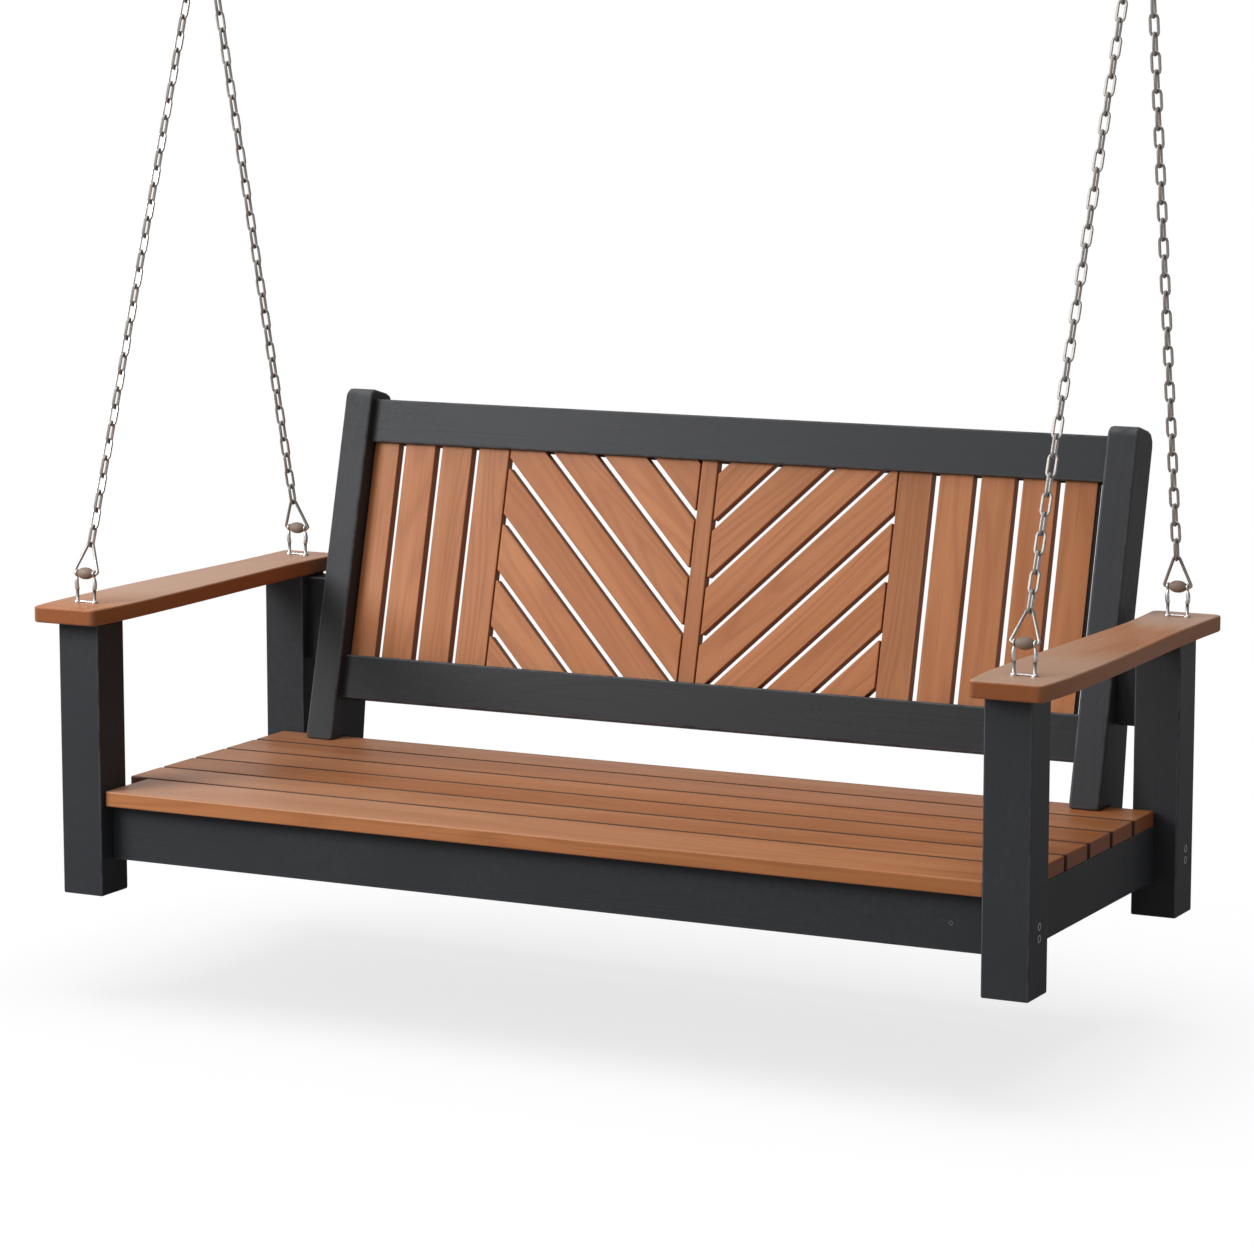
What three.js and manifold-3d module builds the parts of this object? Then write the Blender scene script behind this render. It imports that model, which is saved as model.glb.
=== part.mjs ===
// A porch swing: a two-tone timber bench with a raked, chevron-filled back, hung on four straight-link
// chains from two ceiling hangers.
// Millimetres and degrees. +X is to the right of someone facing the bench, +Y runs from its front to its
// back, and +Z is up. The origin lies on the ceiling, midway between the two ceiling hangers.
import * as THREE from "three";
import { mergeVertices } from "three/addons/utils/BufferGeometryUtils.js";
import Module from "manifold-3d";

const wasm = await Module();
wasm.setup();

// ---- Driving dimensions ----

const jointGap = 0.3; // left between pieces that are screwed or glued face to face

// Posts, seat frame and arms
const benchWidth = 1474; // over the outer faces of the posts
const benchDepth = 619; // over the front and back faces of the posts
const postSize = 66;
const postHeight = 392;
const timberEase = 3; // eased edges of the frame timber
const railThickness = 32;
const railHeight = 79;
const frontRailSetback = 29; // behind the front face of the front posts
const sideRailSetback = 33; // inside the outer face of the posts
const armThickness = 23;
const armEase = 3.5;
const armFrontOverhang = 28;
const armRearOverhang = 35;
// Each row of the arm's outline: share of its length, overhang outside the posts, overhang inside them.
const armOutline = [
  [0, 24, 11],
  [0.13, 31, 18],
  [0.38, 31, 15],
  [0.62, 26, 9],
  [0.82, 23, 5],
  [1, 25, 11],
];

// Seat
const seatHeight = 151; // top of the slats above the foot of the posts
const seatSlatThickness = 22;
const seatSlatGap = 5;
const seatSlatEase = 2.5;
const seatSlatCorner = 4; // clipped corners in plan
const frontSlatSetback = 9; // behind the front face of the front posts
const frontSlatWidth = 112;
const rearSlatCount = 5; // slats behind the front one
const seatRearGap = 4; // between the rearmost slat and the rear posts
const slatEndOverhang = 1; // past the side rails

// Back
const backRake = 14.3;
const backSideSpace = 32; // between each upright and the post beside it, where a packing block goes
const backFootSetback = 45; // front of the uprights ahead of the seat's rear edge, at seat height
const uprightWidth = 45;
const uprightDepth = 70;
const uprightLength = 541; // above the seat, along the rake
const uprightEase = 4;
const uprightFrontRound = 14;
const uprightRearRound = 20;
const tongueThickness = 22; // the foot's tongue, bolted to the rear rail
const packingBlockLength = 126;
const backRailInset = 16; // behind the front face of the uprights
const backRailThickness = 38;
const backRailHeight = 66;
const backRailEase = 3;
const bottomRailLift = 68; // its lower edge above the seat, along the rake
const backOpening = 327; // between the two rails
const grooveDepth = 10;

// Slats and boards let into the back rails
const backSlatThickness = 16;
const backSlatWidth = 52;
const backSlatGap = 11.4;
const backSlatEase = 1.5;
const narrowestRip = 30; // a last slat or corner piece under this is left out
const housedLength = 9; // how far a slat's end goes into its groove
const stileCentre = -25.2; // the chevrons' spine stands a little left of centre
const stileWidth = 26;
const panelClearance = 2; // beside each chevron panel
const leftPanelWidth = 319.8;
const rightPanelWidth = 286.2;
const leftEndMargin = 3; // between the last slat and the left upright
const rightEndMargin = 16.5;
const chevronPitch = 84.6; // up the stile, from one board to the next
const chevronGap = 9.5; // across the boards
const leftChevronTop = 84.4; // the highest gap meets the stile this far under the top rail
const rightChevronTop = 97.7;

// Chains and hangers
const chainPitch = 25.4;
const linkWire = 4.5;
const linkWidth = 15.5;
const linkBite = 0.35; // neighbouring links sink this far into each other, so a run is one body
const ringWire = 4.5; // the triangular ring at the foot of each chain
const ringHeight = 44;
const ringCornerRadius = 2.8;
const ringApexRadius = 5;
const pinHeight = 42; // the ring's base bar above the arm
const legSpacing = 28.5;
const eyeThickness = 3.8;
const eyeDiameter = 11;
const sleeveDiameter = 7;
const sleeveLength = 16; // from the ring's bar down
const sleeveBite = 0.6; // the sleeve runs this far into the eye it carries
const rodDiameter = 4.6;
const nutDiameter = 10;
const nutHeight = 3.5;
const shankDiameter = 6;
const shankGrip = 45; // into the post
const washerPlate = { width: 9, length: 38, thickness: 2.5 };
const rollerEndPlay = 0.85; // between each end of a roller and the eye beside it
const rollerDiameter = 17;
const rollerEndDiameter = 8.4;
const runningGap = 0.35; // round the ring's bar and the hanger's bar
const hangerInset = 25; // chains' feet inside the outer face of the posts
const frontHangerSetback = 34; // behind the front face of the front posts
const rearHangerSetback = 11; // ahead of the back face of the rear posts

const ceilingSpan = 1450; // between the ceiling hangers
const hangerDepth = 388; // behind the front face of the front posts, plumb over the centre of mass
const hangerRise = 1420; // the hangers' bars above the foot of the posts
const barDiameter = 9;
const barInnerWidth = 24;
const barDrop = 26; // bar centre under the ceiling plate's face
const topLinkWire = 5;
const topLinkOffset = 4.2; // each side of the bar's middle
const shortestTopLink = 18; // straight part of a top link
const ceilingPlate = { length: 96, width: 46, thickness: 5, corner: 8 };
const screwHoleDiameter = 6.5;
const screwSpacing = 74;

// ---- Places worked out from them ----

const deg = THREE.MathUtils.degToRad;
const halfWidth = benchWidth / 2;
const postInner = halfWidth - postSize;
const railTop = seatHeight - seatSlatThickness - jointGap;
const railBottom = railTop - railHeight;
const sideRailOuter = halfWidth - sideRailSetback;
const seatRear = benchDepth - postSize - seatRearGap;
const armBottom = postHeight + jointGap;
const armTop = armBottom + armThickness;
const tongueFront = seatRear + jointGap;
const tongueBack = tongueFront + tongueThickness;
const rearRailFront = tongueBack + jointGap;
const backFoot = seatRear - backFootSetback;
const uprightOuter = postInner - backSideSpace;
const uprightInner = uprightOuter - uprightWidth;
const backRailsEnd = uprightInner - jointGap;
const openingBottom = bottomRailLift + backRailHeight;
const openingTop = openingBottom + backOpening;
const slatFront = backRailInset + (backRailThickness - backSlatThickness) / 2;
const hangX = halfWidth - hangerInset;
const pinZ = armTop + pinHeight;
const ceiling = hangerRise + barDrop + ceilingPlate.thickness;

// A point of the back as [y, z]: `behind` the uprights' front face, `along` the rake from the seat.
function backPoint(behind, along) {
  const tilt = deg(backRake);
  return [
    backFoot + behind * Math.cos(tilt) + along * Math.sin(tilt),
    seatHeight - behind * Math.sin(tilt) + along * Math.cos(tilt),
  ];
}

// How far up the rake the line `behind` the front face crosses height z.
function alongAt(behind, z) {
  const tilt = deg(backRake);
  return (z - seatHeight + behind * Math.sin(tilt)) / Math.cos(tilt);
}

// ---- Finishes ----

const darkPaint = () => new THREE.MeshStandardMaterial({ color: 0x3c3d3f, roughness: 0.55, metalness: 0 });
const stainedTimber = () => new THREE.MeshStandardMaterial({ color: 0xa8693f, roughness: 0.5, metalness: 0 });
const plainSteel = () => new THREE.MeshStandardMaterial({ color: 0xa9a39e, roughness: 0.35, metalness: 1 });
const rollerPlastic = () => new THREE.MeshStandardMaterial({ color: 0x8a7464, roughness: 0.6, metalness: 0 });

// ---- Making solids ----

// Puts a mesh in a group under its node name.
function place(group, name, geometry, material) {
  const mesh = new THREE.Mesh(geometry, material);
  mesh.name = name;
  group.add(mesh);
  return mesh;
}

function shapeOf(points) {
  return new THREE.Shape(points.map(([x, y]) => new THREE.Vector2(x, y)));
}

// A rectangle with clipped corners, or sharp ones where corner is 0.
function rectangle(x0, y0, x1, y1, corner = 0) {
  if (!corner) return shapeOf([[x0, y0], [x1, y0], [x1, y1], [x0, y1]]);
  return shapeOf([
    [x0 + corner, y0],
    [x1 - corner, y0],
    [x1, y0 + corner],
    [x1, y1 - corner],
    [x1 - corner, y1],
    [x0 + corner, y1],
    [x0, y1 - corner],
    [x0, y0 + corner],
  ]);
}

// A board of the outline's shape, eased all round both faces, from z = 0 to its thickness.
function board(outline, thickness, ease, curveSegments = 3) {
  return new THREE.ExtrudeGeometry(outline, {
    depth: thickness - 2 * ease,
    bevelThickness: ease,
    bevelSize: ease,
    bevelOffset: -ease,
    bevelSegments: 1,
    curveSegments,
  }).translate(0, 0, ease);
}

// The outline is a plan: the board lies with its lower face at z.
function lying(outline, z, thickness, ease, curveSegments) {
  return board(outline, thickness, ease, curveSegments).translate(0, 0, z);
}

// The outline is a front view (x, z): the board stands with its front face at y.
function facing(outline, y, thickness, ease) {
  return board(outline, thickness, ease)
    .rotateX(Math.PI / 2)
    .translate(0, y + thickness, 0);
}

// The outline is a side view (y, z): the board stands with its left face at x.
function sideways(outline, x, thickness, ease, curveSegments) {
  const turn = new THREE.Matrix4().makeBasis(
    new THREE.Vector3(0, 1, 0),
    new THREE.Vector3(0, 0, 1),
    new THREE.Vector3(1, 0, 0),
  );
  return board(outline, thickness, ease, curveSegments).applyMatrix4(turn).translate(x, 0, 0);
}

// A block between two corners, with all its edges eased.
function timber(low, high) {
  const outline = rectangle(low[0], low[1], high[0], high[1], timberEase);
  return lying(outline, low[2], high[2] - low[2], timberEase);
}

// Turns a profile of [radius, height] points about the Y axis.
function lathed(profile, sides) {
  return new THREE.LatheGeometry(profile.map(([radius, height]) => new THREE.Vector2(radius, height)), sides);
}

function solidOf(geometry) {
  const bare = geometry.clone();
  bare.deleteAttribute("normal");
  bare.deleteAttribute("uv");
  const merged = mergeVertices(bare, 1e-4);
  return new wasm.Manifold(
    new wasm.Mesh({
      numProp: 3,
      vertProperties: merged.attributes.position.array,
      triVerts: new Uint32Array(merged.index.array),
    }),
  );
}

function geometryOf(solid) {
  const mesh = solid.getMesh();
  return new THREE.BufferGeometry()
    .setAttribute("position", new THREE.BufferAttribute(mesh.vertProperties, 3))
    .setIndex(new THREE.BufferAttribute(mesh.triVerts, 1));
}

function joined(geometries) {
  return geometryOf(geometries.map(solidOf).reduce((whole, piece) => whole.add(piece)));
}

function cut(geometry, cutters) {
  return geometryOf(cutters.map(solidOf).reduce((left, cutter) => left.subtract(cutter), solidOf(geometry)));
}

// A round bar along Z between two heights. Its flats, not its corners, lie on the diameter when `outside`.
function roundBar(x, y, z0, z1, diameter, sides = 8, outside = false) {
  const radius = diameter / 2 / (outside ? Math.cos(Math.PI / sides) : 1);
  return new THREE.CylinderGeometry(radius, radius, z1 - z0, sides)
    .rotateX(Math.PI / 2)
    .translate(x, y, (z0 + z1) / 2);
}

// ---- Seat frame ----

// The two screw shanks of a hanger, as holes through an arm and down into its post.
function shankHoles(x, y) {
  const bottom = postHeight - shankGrip - 1;
  return [-1, 1].map((side) =>
    roundBar(x + (side * legSpacing) / 2, y, bottom, armTop + 1, shankDiameter + 2 * jointGap, 8, true),
  );
}

function hangerPlaces() {
  return [
    ["front", frontHangerSetback],
    ["rear", benchDepth - rearHangerSetback],
  ];
}

// A rear post carries a packing block on its inner face, which the upright is bolted against.
function packingBlock(sign) {
  const top = postHeight - timberEase - jointGap;
  const bottom = top - packingBlockLength;
  const front = backPoint(0, alongAt(0, top))[0] + 2 * timberEase;
  const near = uprightOuter + jointGap;
  const far = postInner + timberEase;
  const back = benchDepth - timberEase;
  return timber(
    [sign > 0 ? near : -far, front, bottom],
    [sign > 0 ? far : -near, back, top],
  );
}

function buildPosts(group) {
  for (const [side, sign] of [["left", -1], ["right", 1]]) {
    for (const [end, hangerY] of hangerPlaces()) {
      const x0 = sign > 0 ? postInner : -halfWidth;
      const y0 = end === "front" ? 0 : benchDepth - postSize;
      let post = timber([x0, y0, 0], [x0 + postSize, y0 + postSize, postHeight]);
      if (end === "rear") post = joined([post, packingBlock(sign)]);
      place(group, `${end}_post_${side}`, cut(post, shankHoles(sign * hangX, hangerY)), darkPaint());
    }
  }
}

// A gently waisted board, widest over the front posts, with clipped corners.
function armShape() {
  const length = benchDepth + armFrontOverhang + armRearOverhang;
  const corner = 2 * armEase;
  const edge = (column, face, sign) =>
    armOutline.map((row) => new THREE.Vector2(face + sign * row[column], row[0] * length - armFrontOverhang));
  const outer = edge(1, halfWidth, 1);
  const inner = edge(2, postInner, -1).reverse();
  outer[0].y += corner;
  outer.at(-1).y -= corner;
  inner[0].y -= corner;
  inner.at(-1).y += corner;
  const shape = new THREE.Shape();
  shape.moveTo(outer[0].x, outer[0].y);
  shape.splineThru(outer.slice(1));
  shape.lineTo(outer.at(-1).x - corner, outer.at(-1).y + corner);
  shape.lineTo(inner[0].x + corner, inner[0].y + corner);
  shape.lineTo(inner[0].x, inner[0].y);
  shape.splineThru(inner.slice(1));
  shape.lineTo(inner.at(-1).x + corner, inner.at(-1).y - corner);
  shape.lineTo(outer[0].x - corner, outer[0].y - corner);
  return shape;
}

function buildArms(group) {
  const holes = hangerPlaces().flatMap(([, y]) => shankHoles(hangX, y));
  const right = cut(lying(armShape(), armBottom, armThickness, armEase, 2), holes);
  place(group, "arm_right", right, stainedTimber());
  place(group, "arm_left", mirrored(right), stainedTimber());
}

// The same solid on the other side of the bench, with its faces turned to point out again.
function mirrored(geometry) {
  const copy = geometry.clone().scale(-1, 1, 1);
  const index = copy.index.array;
  for (let i = 0; i < index.length; i += 3) [index[i], index[i + 1]] = [index[i + 1], index[i]];
  return copy;
}

function buildRails(group) {
  const end = postInner - jointGap;
  const frontRailBack = frontRailSetback + railThickness;
  place(
    group,
    "front_rail",
    timber([-end, frontRailSetback, railBottom], [end, frontRailBack, railTop]),
    darkPaint(),
  );
  place(
    group,
    "rear_rail",
    timber([-end, rearRailFront, railBottom], [end, rearRailFront + railThickness, railTop]),
    darkPaint(),
  );
  const inner = sideRailOuter - railThickness;
  for (const [side, x0] of [["left", -sideRailOuter], ["right", inner]]) {
    place(
      group,
      `side_rail_${side}`,
      timber(
        [x0, postSize + jointGap, railBottom],
        [x0 + railThickness, benchDepth - postSize - jointGap, railTop],
      ),
      darkPaint(),
    );
  }
  place(
    group,
    "seat_bearer",
    timber(
      [-railThickness / 2, frontRailBack + jointGap, railBottom],
      [railThickness / 2, rearRailFront - jointGap, railTop],
    ),
    darkPaint(),
  );
}

// The front slat fits between the posts. The others run out over the side rails.
function buildSeat(group) {
  const bottom = seatHeight - seatSlatThickness;
  const slat = (halfLength, y0, y1) =>
    lying(rectangle(-halfLength, y0, halfLength, y1, seatSlatCorner), bottom, seatSlatThickness, seatSlatEase);
  const firstBack = frontSlatSetback + frontSlatWidth;
  place(group, "seat_slat_1", slat(postInner - jointGap, frontSlatSetback, firstBack), stainedTimber());
  const width = (seatRear - firstBack) / rearSlatCount - seatSlatGap;
  for (let i = 0; i < rearSlatCount; i++) {
    const y1 = seatRear - (rearSlatCount - 1 - i) * (width + seatSlatGap);
    place(group, `seat_slat_${i + 2}`, slat(sideRailOuter + slatEndOverhang, y1 - width, y1), stainedTimber());
  }
}

// ---- Back ----

// Side view of an upright: a raked blade, parallel above the arms and widening below them to a foot.
// The foot's lip stands on the rearmost slat, its tongue drops behind the slat and is bolted to the
// rear rail, and its heel stands on that rail.
function uprightShape() {
  const lip = seatHeight + jointGap;
  const heel = railTop + jointGap;
  const bend = alongAt(uprightDepth, postHeight);
  const shape = new THREE.Shape();
  shape.moveTo(...backPoint(0, alongAt(0, lip)));
  shape.lineTo(tongueFront, lip);
  shape.lineTo(tongueFront, railBottom);
  shape.lineTo(tongueBack, railBottom);
  shape.lineTo(tongueBack, heel);
  shape.lineTo(rearRailFront + railThickness, heel);
  shape.lineTo(...backPoint(uprightDepth, bend));
  shape.lineTo(...backPoint(uprightDepth, uprightLength - uprightRearRound));
  shape.quadraticCurveTo(
    ...backPoint(uprightDepth, uprightLength),
    ...backPoint(uprightDepth - uprightRearRound, uprightLength),
  );
  shape.lineTo(...backPoint(uprightFrontRound, uprightLength));
  shape.quadraticCurveTo(
    ...backPoint(0, uprightLength),
    ...backPoint(0, uprightLength - uprightFrontRound),
  );
  return shape;
}

function buildUprights(group) {
  for (const [side, x0] of [["left", -uprightOuter], ["right", uprightInner]]) {
    const upright = sideways(uprightShape(), x0, uprightWidth, uprightEase, 4);
    place(group, `back_upright_${side}`, upright, darkPaint());
  }
}

// Section of a back rail (y behind the uprights' face, z along the rake), grooved on one edge.
function grooved(z0, z1, grooveEdge) {
  const y0 = backRailInset;
  const y1 = y0 + backRailThickness;
  const g0 = slatFront - jointGap;
  const g1 = slatFront + backSlatThickness + jointGap;
  const e = backRailEase;
  const across = (t) => (grooveEdge === "low" ? z0 + t : z1 - t);
  const half = [
    [y0, across(backRailHeight - e)],
    [y0, across(e)],
    [y0 + e, across(0)],
    [g0, across(0)],
    [g0, across(grooveDepth)],
    [g1, across(grooveDepth)],
    [g1, across(0)],
    [y1 - e, across(0)],
    [y1, across(e)],
    [y1, across(backRailHeight - e)],
    [y1 - e, across(backRailHeight)],
    [y0 + e, across(backRailHeight)],
  ];
  return shapeOf(half);
}

function backRail(z0, grooveEdge) {
  const section = grooved(z0, z0 + backRailHeight, grooveEdge);
  const turn = new THREE.Matrix4().makeBasis(
    new THREE.Vector3(0, 1, 0),
    new THREE.Vector3(0, 0, 1),
    new THREE.Vector3(1, 0, 0),
  );
  return new THREE.ExtrudeGeometry(section, { depth: 2 * backRailsEnd, bevelEnabled: false })
    .applyMatrix4(turn)
    .translate(-backRailsEnd, 0, 0);
}

// A slat, stile or chevron board standing in the rails' grooves.
function infill(points) {
  return facing(shapeOf(points), slatFront, backSlatThickness, backSlatEase);
}

function uprightSlat(x0, x1) {
  const z0 = openingBottom - housedLength;
  const z1 = openingTop + housedLength;
  return infill([[x0, z0], [x1, z0], [x1, z1], [x0, z1]]);
}

// Edges of the slats from one place to another: whole ones at the pitch, and the last ripped to fit.
function slatEdges(from, to) {
  const edges = [];
  for (let x = from; x + narrowestRip <= to; x += backSlatWidth + backSlatGap)
    edges.push([x, Math.min(x + backSlatWidth, to)]);
  return edges;
}

// Keeps the part of a convex outline where a x + b y <= c.
function clipped(points, a, b, c) {
  const over = ([x, y]) => a * x + b * y - c;
  return points.flatMap((p, i) => {
    const q = points[(i + 1) % points.length];
    const [dp, dq] = [over(p), over(q)];
    const kept = dp <= 0 ? [p] : [];
    if (dp < 0 === dq < 0 || dp === 0 || dq === 0) return kept;
    const t = dp / (dp - dq);
    return [...kept, [p[0] + t * (q[0] - p[0]), p[1] + t * (q[1] - p[1])]];
  });
}

// The boards of one chevron panel, in a view where x grows away from the stile. They climb at 45 degrees
// away from the stile, from the top corner beside it down to the far bottom corner.
function chevronBoards(panelWidth, top) {
  const x0 = stileWidth / 2 + panelClearance;
  const x1 = stileWidth / 2 + panelWidth;
  const z0 = openingBottom - housedLength;
  const z1 = openingTop + housedLength;
  const halfGap = (chevronGap / 2) * Math.SQRT2;
  const panel = [[x0, z0], [x1, z0], [x1, z1], [x0, z1]];
  const boards = [];
  let line = openingTop - top - stileWidth / 2;
  let upper = line + chevronPitch - halfGap;
  while (upper - (z0 - x1) > narrowestRip) {
    boards.push(clipped(clipped(panel, 1, -1, -(line + halfGap)), -1, 1, upper));
    upper = line - halfGap;
    line -= chevronPitch;
  }
  return boards;
}

function buildBack(bench) {
  buildUprights(bench);
  const back = new THREE.Group();
  back.position.set(0, backFoot, seatHeight);
  back.rotation.x = -deg(backRake);
  bench.add(back);

  place(back, "back_bottom_rail", backRail(bottomRailLift, "high"), darkPaint());
  place(back, "back_top_rail", backRail(openingTop, "low"), darkPaint());
  const stileEdge = stileWidth / 2;
  place(back, "back_stile", uprightSlat(stileCentre - stileEdge, stileCentre + stileEdge), stainedTimber());

  const rightStart = stileCentre + stileEdge + rightPanelWidth + panelClearance;
  slatEdges(rightStart, uprightInner - rightEndMargin).forEach(([x0, x1], i) => {
    place(back, `back_slat_right_${i + 1}`, uprightSlat(x0, x1), stainedTimber());
  });
  const leftStart = -stileCentre + stileEdge + leftPanelWidth + panelClearance;
  slatEdges(leftStart, uprightInner - leftEndMargin).forEach(([x0, x1], i) => {
    place(back, `back_slat_left_${i + 1}`, uprightSlat(-x1, -x0), stainedTimber());
  });

  chevronBoards(rightPanelWidth, rightChevronTop).forEach((outline, i) => {
    const points = outline.map(([x, z]) => [stileCentre + x, z]);
    place(back, `chevron_right_${i + 1}`, infill(points), stainedTimber());
  });
  chevronBoards(leftPanelWidth, leftChevronTop).forEach((outline, i) => {
    const points = outline.map(([x, z]) => [stileCentre - x, z]).reverse();
    place(back, `chevron_left_${i + 1}`, infill(points), stainedTimber());
  });
}

// ---- Hangers on the arms ----

const boreSides = 8;
const ringCorners = 12;

// Two eye screws through a washer plate. The foot of a chain's ring turns in their eyes.
function hangerYoke(x, y) {
  const { length, width, thickness } = washerPlate;
  const plateBottom = armTop + jointGap;
  const plate = new THREE.BoxGeometry(length, width, thickness);
  plate.translate(x, y, plateBottom + thickness / 2);
  const pieces = [plate];
  for (const side of [-1, 1]) {
    const legX = x + (side * legSpacing) / 2;
    pieces.push(eyeScrew(plateBottom + thickness).translate(legX, y, 0));
    const eye = new THREE.CylinderGeometry(eyeDiameter / 2, eyeDiameter / 2, eyeThickness, 8);
    pieces.push(eye.rotateZ(Math.PI / 2).translate(legX, y, pinZ));
  }
  const bore = boreRadius(ringWire);
  const hole = new THREE.CylinderGeometry(bore, bore, 2 * legSpacing, boreSides);
  return cut(joined(pieces), [hole.rotateZ(Math.PI / 2).translate(x, y, pinZ)]);
}

// A shank down through the arm into the post, and above the plate a nut, a rod and a sleeve.
function eyeScrew(plateTop) {
  const tip = postHeight - shankGrip;
  const nutTop = plateTop + nutHeight;
  const sleeveBottom = pinZ - sleeveLength;
  const sleeveTop = pinZ - eyeDiameter / 2 + sleeveBite;
  const profile = [
    [0, tip],
    [shankDiameter / 2, tip + shankDiameter / 2],
    [shankDiameter / 2, plateTop],
    [nutDiameter / 2, plateTop],
    [nutDiameter / 2, nutTop],
    [rodDiameter / 2, nutTop],
    [rodDiameter / 2, sleeveBottom],
    [sleeveDiameter / 2, sleeveBottom],
    [sleeveDiameter / 2, sleeveTop],
    [0, sleeveTop],
  ];
  return lathed(profile, 6).rotateX(Math.PI / 2);
}

// Radius to the corners of a bore that leaves the running gap round a wire's corners.
function boreRadius(wire) {
  return (wire / 2 / Math.cos(Math.PI / ringCorners) + runningGap) / Math.cos(Math.PI / boreSides);
}

// A crowned spacer that turns freely on the ring's bar.
function roller(x, y) {
  const bore = boreRadius(ringWire);
  const end = (legSpacing - eyeThickness) / 2 - rollerEndPlay;
  const profile = [
    [bore, -end],
    [rollerEndDiameter / 2, -end],
    [rollerDiameter * 0.45, -end * 0.45],
    [rollerDiameter / 2, 0],
    [rollerDiameter * 0.45, end * 0.45],
    [rollerEndDiameter / 2, end],
    [bore, end],
    [bore, -end],
  ];
  return lathed(profile, boreSides)
    .rotateZ(-Math.PI / 2)
    .translate(x, y, pinZ);
}

// ---- Chains ----

// A ring of wire bent from a torus whose bends are pulled apart: `bend(angle)` gives each bend's
// centre, as x and y, and what it adds to the bend's radius. Straight wire is left between the bends.
// Its flats, not its corners, lie at the stated radius and wire size.
function bentRing(radius, wire, sides, corners, bend) {
  const flat = Math.cos(Math.PI / corners);
  const ring = new THREE.TorusGeometry(radius / flat, wire / 2 / flat, sides, corners);
  ring.rotateZ(Math.PI / corners);
  const position = ring.attributes.position;
  for (let i = 0; i < position.count; i++) {
    const angle = Math.atan2(position.getY(i), position.getX(i));
    const { x, y, grow = 0 } = bend(angle);
    position.setX(i, position.getX(i) + x + grow * Math.cos(angle));
    position.setY(i, position.getY(i) + y + grow * Math.sin(angle));
  }
  return ring;
}

// An oval link, long in y, with `straight` wire between its two round ends.
function link(radius, wire, straight, sides, corners) {
  const bend = (angle) => ({ x: 0, y: (Math.sign(angle) * straight) / 2 });
  return bentRing(radius, wire, sides, corners, bend);
}

// The triangular ring: its base bar along x at y = 0, its apex at y = ringHeight, shifted by lean.
function triangularRing(lean) {
  const halfBase = (legSpacing + eyeThickness) / 2 + runningGap;
  const steep = deg(30);
  const apex = { x: lean, y: ringHeight - ringApexRadius, grow: ringApexRadius - ringCornerRadius };
  return bentRing(ringCornerRadius, ringWire, 6, ringCorners, (angle) => {
    if (angle > steep && angle < Math.PI - steep) return apex;
    return { x: Math.abs(angle) < Math.PI / 2 ? halfBase : -halfBase, y: ringCornerRadius };
  });
}

// A chain from its ring's bar, at `foot`, to the ceiling hanger's bar, at `head`: the ring, an even
// number of links that stand alternately edge on and face on, and a longer link round the hanger's bar.
function chain(foot, head) {
  const way = head.clone().sub(foot);
  const length = way.length();
  const up = way.clone().normalize();
  const across = new THREE.Vector3(1, 0, 0).addScaledVector(up, -up.x).normalize();
  const ahead = new THREE.Vector3().crossVectors(across, up);

  // The ring's base stays level with the bar of its yoke and leans only towards the hanger.
  const ringUp = new THREE.Vector3(0, up.y, up.z).normalize();
  const ringBack = new THREE.Vector3().crossVectors(new THREE.Vector3(1, 0, 0), ringUp);
  const ringTurn = new THREE.Matrix4()
    .makeBasis(new THREE.Vector3(1, 0, 0), ringUp, ringBack)
    .setPosition(foot);
  const lean = (ringHeight * up.x) / Math.hypot(up.y, up.z);
  const pieces = [triangularRing(lean).applyMatrix4(ringTurn)];

  const placed = (geometry, along, edgeOn) => {
    const [x, z] = edgeOn ? [ahead, across.clone().negate()] : [across, ahead];
    const turn = new THREE.Matrix4().makeBasis(x, up, z);
    return geometry.applyMatrix4(turn.setPosition(foot.clone().addScaledVector(up, along)));
  };

  // A link's ends each have three corners, and the middle one stands out beyond their flats.
  const linkCorners = 6;
  const standOut = 1 / Math.cos(Math.PI / linkCorners);
  const linkRadius = (linkWidth - linkWire) / 2;
  const crownWire = linkWire * standOut;
  const crownSpan = chainPitch + crownWire - linkBite;
  const firstFoot = ringHeight - (ringWire + crownWire) / 2 + linkBite;
  const straight = crownSpan - 2 * linkRadius * standOut;

  const topRadius = barDiameter / 2 + runningGap + topLinkWire / 2;
  const topReach = (crownWire - topLinkWire) / 2 + topRadius + shortestTopLink;
  const count = 2 * Math.floor((length - firstFoot - topReach) / (2 * chainPitch));
  for (let i = 0; i < count; i++) {
    const middle = firstFoot + i * chainPitch + crownSpan / 2;
    const oval = link(linkRadius, linkWire, straight, 4, linkCorners);
    pieces.push(placed(oval, middle, i % 2 === 0));
  }

  const topFoot = firstFoot + count * chainPitch + (crownWire - topLinkWire) / 2;
  const topStraight = length - topFoot - topRadius;
  const topLink = link(topRadius, topLinkWire, topStraight, 5, 8);
  pieces.push(placed(topLink, length - topStraight / 2, true));
  return joined(pieces);
}

function buildHanging(group) {
  for (const [side, sign] of [["left", -1], ["right", 1]]) {
    for (const [end, y] of hangerPlaces()) {
      const x = sign * hangX;
      place(group, `hanger_yoke_${end}_${side}`, hangerYoke(x, y), plainSteel());
      place(group, `hanger_roller_${end}_${side}`, roller(x, y), rollerPlastic());
      const inward = end === "front" ? -1 : 1;
      const foot = new THREE.Vector3(x, y, pinZ);
      const head = new THREE.Vector3(
        sign * (ceilingSpan / 2 + inward * topLinkOffset),
        hangerDepth,
        hangerRise,
      );
      place(group, `chain_${end}_${side}`, chain(foot, head), plainSteel());
    }
  }
}

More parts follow.
